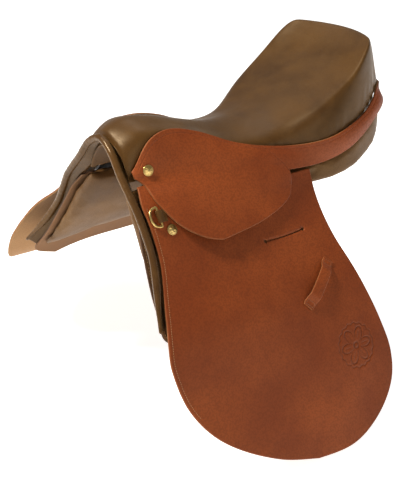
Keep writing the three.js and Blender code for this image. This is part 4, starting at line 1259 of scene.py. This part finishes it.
VOXEL, SHRINK, SWELL = 0.005, 0.0012, 0.004  # metres
PRESSURE = 4.0
CLOTH_FRAMES = 20


def swollen(name, node, material):
    """A padded piece: the node's solid is remeshed, blown up as cloth, and capped."""
    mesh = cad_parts[node].data.copy()
    mesh.materials.clear()
    obj = linked(name, mesh)
    remesh = obj.modifiers.new("remesh", "REMESH")
    remesh.mode = "VOXEL"
    remesh.voxel_size = VOXEL
    apply_modifiers(obj)
    mesh = obj.data
    start = coordinates(mesh)
    normal = np.empty(len(mesh.vertices) * 3)
    mesh.vertices.foreach_get("normal", normal)
    small = start - normal.reshape(-1, 3) * SHRINK
    small = relaxed(mesh, small, 3)
    mesh.vertices.foreach_set("co", small.ravel())
    mesh.update()
    cloth = obj.modifiers.new("cloth", "CLOTH")
    s = cloth.settings
    s.quality = 5
    s.mass = 0.35
    s.tension_stiffness = s.compression_stiffness = s.shear_stiffness = 18
    s.bending_stiffness = 1.5
    s.use_pressure = True
    s.uniform_pressure_force = PRESSURE
    s.effector_weights.gravity = 0
    cloth.collision_settings.use_collision = False
    cloth.point_cache.frame_start, cloth.point_cache.frame_end = 1, CLOTH_FRAMES
    for step in range(1, CLOTH_FRAMES + 1):
        bpy.context.scene.frame_set(step)
    graph = bpy.context.evaluated_depsgraph_get()
    done = coordinates(obj.evaluated_get(graph).data)
    obj.modifiers.remove(cloth)
    bpy.context.scene.frame_set(1)
    moved = done - small
    far = np.linalg.norm(moved, axis=1, keepdims=True)
    moved *= np.minimum(1, SWELL / np.maximum(far, 1e-9))
    mesh.vertices.foreach_set("co", (small + moved).ravel())
    mesh.update()
    subdivide = obj.modifiers.new("smooth", "SUBSURF")
    subdivide.levels = subdivide.render_levels = 1
    apply_modifiers(obj)
    obj.data.polygons.foreach_set("use_smooth", [True] * len(obj.data.polygons))
    obj.data.materials.clear()
    obj.data.materials.append(material)
    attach(obj, "seat")
    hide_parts(node)


def coordinates(mesh):
    co = np.empty(len(mesh.vertices) * 3)
    mesh.vertices.foreach_get("co", co)
    return co.reshape(-1, 3)


def relaxed(mesh, points, rounds):
    """Moves each point half way to the mean of its neighbours."""
    edges = np.empty(len(mesh.edges) * 2, int)
    mesh.edges.foreach_get("vertices", edges)
    a, b = edges.reshape(-1, 2).T
    count = np.bincount(np.concatenate([a, b]), minlength=len(points))[:, None]
    for _ in range(rounds):
        total = np.zeros_like(points)
        np.add.at(total, a, points[b])
        np.add.at(total, b, points[a])
        points = lerp(points, total / np.maximum(count, 1), 0.5)
    return points


def apply_modifiers(obj):
    graph = bpy.context.evaluated_depsgraph_get()
    mesh = bpy.data.meshes.new_from_object(obj.evaluated_get(graph))
    obj.modifiers.clear()
    obj.data = mesh


def make_panels():
    for side, _ in SIDES:
        swollen(f"{side}_panel_leather", f"{side}_panel", PANEL_LEATHER)


make_panels()

# ---------------------------------------------------------------- leathers under the flaps
SWEAT_LEFT = [(2, 20), (-14, 104), (-26, 180), (-30, 225), (10, 250)]
SWEAT_RIGHT = [(260, 20), (262, 60), (280, 104), (250, 150), (170, 200), (10, 250)]
GUARD_LEFT = [(92, 30), (92, 80), (98, 118), (118, 134), (158, 140)]
GUARD_RIGHT = [(226, 30), (226, 80), (220, 116), (198, 134), (158, 140)]
POCKET_LEFT = [(24, 52), (22, 70), (26, 92), (42, 100)]
POCKET_RIGHT = [(62, 52), (64, 70), (58, 92), (42, 100)]
KNEE_ROLL = [(14, 96), (8, 130), (0, 165), (-10, 200), (-12, 222)]
BILLETS = (("front", 112, -8.4), ("middle", 158, -11.6), ("rear", 204, -8.4))
BILLET_TOP, BILLET_END, BILLET_TIP, STRAP_WIDTH, STRAP = 14, 320, 20, 26, 2.4
HOLE_FROM, HOLE_PITCH, HOLE_RADIUS = 160, 25, 2.1


def seam_inside(outline, gap, side, sign, lift):
    """A closed line of stitches just inside an outline."""
    line = inset(outline, gap)
    line = np.vstack([line, line[:1]])
    lifts = np.full(len(line), float(lift))
    return (flip(on_drape(side, line[:, 0], line[:, 1], lifts), sign),
            flip(drape_normal(side, line[:, 0], line[:, 1]), sign))


def billet_pattern(y):
    half = STRAP_WIDTH / 2
    left = [(y - half, s) for s in (BILLET_TOP, 160, BILLET_END - BILLET_TIP)] + [(y, BILLET_END)]
    right = [(2 * y - a, s) for a, s in left]
    angle = np.linspace(0, 2 * np.pi, 12, endpoint=False)
    circle = HOLE_RADIUS * np.stack([np.cos(angle), np.sin(angle)], -1)
    holes = tuple(circle + (y, s) for s in range(HOLE_FROM, BILLET_END - 12, HOLE_PITCH))
    return outline_of(left, right, 2.5), holes


def make_under_leathers():
    sweat_outline = outline_of(SWEAT_LEFT, SWEAT_RIGHT, 3.0)
    guard_outline = outline_of(GUARD_LEFT, GUARD_RIGHT, 2.5)
    pocket_outline = outline_of(POCKET_LEFT, POCKET_RIGHT, 2.0)
    patterns = {
        "sweat_flap": (cut_leather(sweat_outline, 7.0), -20, -17, LINING_LEATHER, "lining_leather", "near"),
        "billet_guard": (cut_leather(guard_outline, 6.0), -7.6, -5.8, STRAP_LEATHER, "strap_leather", None),
        "point_pocket": (cut_leather(pocket_outline, 4.0), -9.6, -7.4, LINING_LEATHER, "lining_leather",
                         "near"),
    }
    for name, (pattern, low, high, material, slot, drape) in patterns.items():
        for side, sign in SIDES:
            hang = drape or side
            leather_piece(f"{side}_{name}_leather", lambda y, s, lift: on_drape(hang, y, s, lift), pattern,
                          low, high, "seat", material, (f"{side}_{name}",), 0.9, None, sign)
    for side, sign in SIDES:
        stitches(f"{side}_under_stitches",
                 [seam_inside(sweat_outline, 4.5, "near", sign, -17),
                  seam_inside(guard_outline, 3.5, side, sign, -5.8),
                  seam_inside(pocket_outline, 3, "near", sign, -7.4)],
                 "seat", TAN_THREAD, 4.2, 2.8, 0.35)
    for name, y, out in BILLETS:
        outline, holes = billet_pattern(y)
        pattern = cut_leather(outline, 5.0, holes, (), (0.4, 1.0, 2.0))
        for side, sign in SIDES:
            leather_piece(f"{side}_billet_{name}_strap", lambda a, s, lift: on_drape(side, a, s, lift),
                          pattern, out - STRAP, out, f"{side}_{name}_strap", STRAP_LEATHER,
                          (f"{side}_billet_{name}",), 0.9,
                          lambda _, e: groove(e, 3.0, 0.3, 0.4), sign)


make_under_leathers()


def make_knee_rolls():
    t = np.linspace(0, 1, 120)
    route = np.array(KNEE_ROLL, float)
    on = on_drape("near", route[:, 0], route[:, 1], np.full(len(route), -10.8))
    centres = Curve(on).along(t)
    up = drape_normal("near", np.array([10.0]), np.array([140.0]))[0]
    full = 0.35 + 0.65 * np.sin(np.pi * np.clip(t * 0.9 + 0.05, 0, 1)) ** 0.5
    cap = round_cap(t, 0.04)
    wrinkle = 1 + 0.03 * np.sin(t * 95) * np.sin(t * 31)
    points, faces = tube(centres, 15 * full * cap * wrinkle, 5 * full * cap * wrinkle, up, 28)
    for side, sign in SIDES:
        roll = mesh_object(f"{side}_knee_roll_leather", flip(points, sign), faces, "seat",
                           PANEL_LEATHER, (f"{side}_knee_roll",))


make_knee_rolls()

LINING = [(66, -44), (110, -51), (160, -61), (215, -69), (262, -75), (312, -71), (355, -62), (400, -47),
          (440, -33), (472, -25), (492, -24)]
CHANNEL = 34


def make_channel_lining():
    curve = plane(LINING)
    p = curve.along(np.linspace(0, 1, 140))
    across = np.linspace(-1, 1, 31)
    quilt = 0.5 * np.abs(np.sin(across * 2 * np.pi))[None] * np.abs(np.sin(p[:, :1] * 0.09))
    layers = []
    for lift in (1.8, 0):
        z = p[:, 1][:, None] - 5 * across[None] ** 2 + lift + quilt * (lift == 0) * 0.9
        x = np.broadcast_to(across * (CHANNEL + 6), z.shape)
        y = np.broadcast_to(p[:, 0][:, None], z.shape)
        layers.append(np.stack([x, y, z], -1))
    points, faces = closed_sheet(*layers)
    mesh_object("channel_leather", points, faces, "seat", LINING_LEATHER,
                ("channel_lining",))


make_channel_lining()


# ---------------------------------------------------------------- hard parts
SHARP_ANGLE, BEVEL_ANGLE = 40, 35  # degrees


def rounded_copy(name, node, body, material, width):
    """A CAD part with its edges eased."""
    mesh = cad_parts[node].data.copy()
    mesh.materials.clear()
    obj = linked(name, mesh)
    weld = obj.modifiers.new("weld", "WELD")
    weld.merge_threshold = 0.00002
    bevel = obj.modifiers.new("bevel", "BEVEL")
    bevel.width, bevel.segments, bevel.limit_method = width, 3, "ANGLE"
    bevel.angle_limit = math.radians(BEVEL_ANGLE)
    bevel.use_clamp_overlap = True
    apply_modifiers(obj)
    obj.data.polygons.foreach_set("use_smooth", [True] * len(obj.data.polygons))
    obj.data.set_sharp_from_angle(angle=math.radians(SHARP_ANGLE))
    obj.data.materials.append(material)
    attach(obj, body)
    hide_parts(node)


def repaint(node, material):
    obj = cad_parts[node]
    obj.data.materials.clear()
    obj.data.materials.append(material)


for side, _ in SIDES:
    rounded_copy(f"{side}_bar_steel", f"{side}_stirrup_bar", "seat", STEEL, 0.0009)
    rounded_copy(f"{side}_catch_steel", f"{side}_bar_catch", f"{side}_catch", STEEL, 0.0005)
    for node in ("front_bar_rivet", "rear_bar_rivet", "spring"):
        repaint(f"{side}_{node}", STEEL)
    repaint(f"{side}_seat_web", WEB)
repaint("gullet_plate", STEEL)
repaint("tree_frame", WOOD)

# ---------------------------------------------------------------- studio
FLOOR_GAP = 0.004
FLOOR_SIZE = 9.0
AMBIENT = 0.26
CAMERA_PLACE, CAMERA_AIM = (1.154, -0.897, 0.584), (0.060, -0.020, -0.100)
LENS, SENSOR, SHIFT = 73.35, 36, (-0.079, 0.023)


def make_stage():
    low = cad_box[0][2] - FLOOR_GAP
    n = Nodes("pale_floor")
    tone = n.mix(n.remap(n.noise(1.5, 2), 0.3, 0.7), (0.9, 0.9, 0.9), (0.93, 0.93, 0.93))
    floor_material = n.finish(tone, n.remap(n.noise(30, 2), 0.3, 0.7, 0.85, 0.95), Emission_Strength=0.8,
                              Emission_Color=(1.0, 1.0, 1.0, 1.0))
    points = [(x * FLOOR_SIZE, y * FLOOR_SIZE, low) for x, y in ((-1, -1), (1, -1), (1, 1), (-1, 1))]
    mesh = bpy.data.meshes.new("floor")
    mesh.from_pydata(points, [], [(0, 1, 2, 3)])
    mesh.materials.append(floor_material)
    floor = linked("floor", mesh)
    world = bpy.data.worlds.new("studio")
    world.use_nodes = True
    world.node_tree.nodes["Background"].inputs["Color"].default_value = (1, 1, 1, 1)
    world.node_tree.nodes["Background"].inputs["Strength"].default_value = AMBIENT
    bpy.context.scene.world = world


def area_light(name, place, target, size, power, color=(1, 1, 1)):
    data = bpy.data.lights.new(name, "AREA")
    data.shape, data.size, data.energy, data.color = "DISK", size, power, color
    light = linked(name, data)
    light.location = place
    light.rotation_euler = (Vector(target) - Vector(place)).to_track_quat("-Z", "Y").to_euler()


def make_camera():
    data = bpy.data.cameras.new("camera")
    data.lens, data.sensor_width = LENS, SENSOR
    data.shift_x, data.shift_y = SHIFT
    camera = linked("camera", data)
    camera.location = CAMERA_PLACE
    aim = Vector(CAMERA_AIM) - camera.location
    camera.rotation_euler = aim.to_track_quat("-Z", "Y").to_euler()
    bpy.context.scene.camera = camera


make_stage()
area_light("key", (-0.45, -1.5, 2.2), (0.08, 0, -0.1), 0.55, 92, (1.0, 0.93, 0.82))
area_light("fill", (2.4, -0.6, 0.8), (0.1, 0, -0.1), 1.6, 9, (1.0, 0.95, 0.88))
area_light("top", (-0.9, 0.7, 2.2), (0, 0, 0), 1.4, 7)
make_camera()
bpy.context.scene.view_settings.view_transform = "Standard"
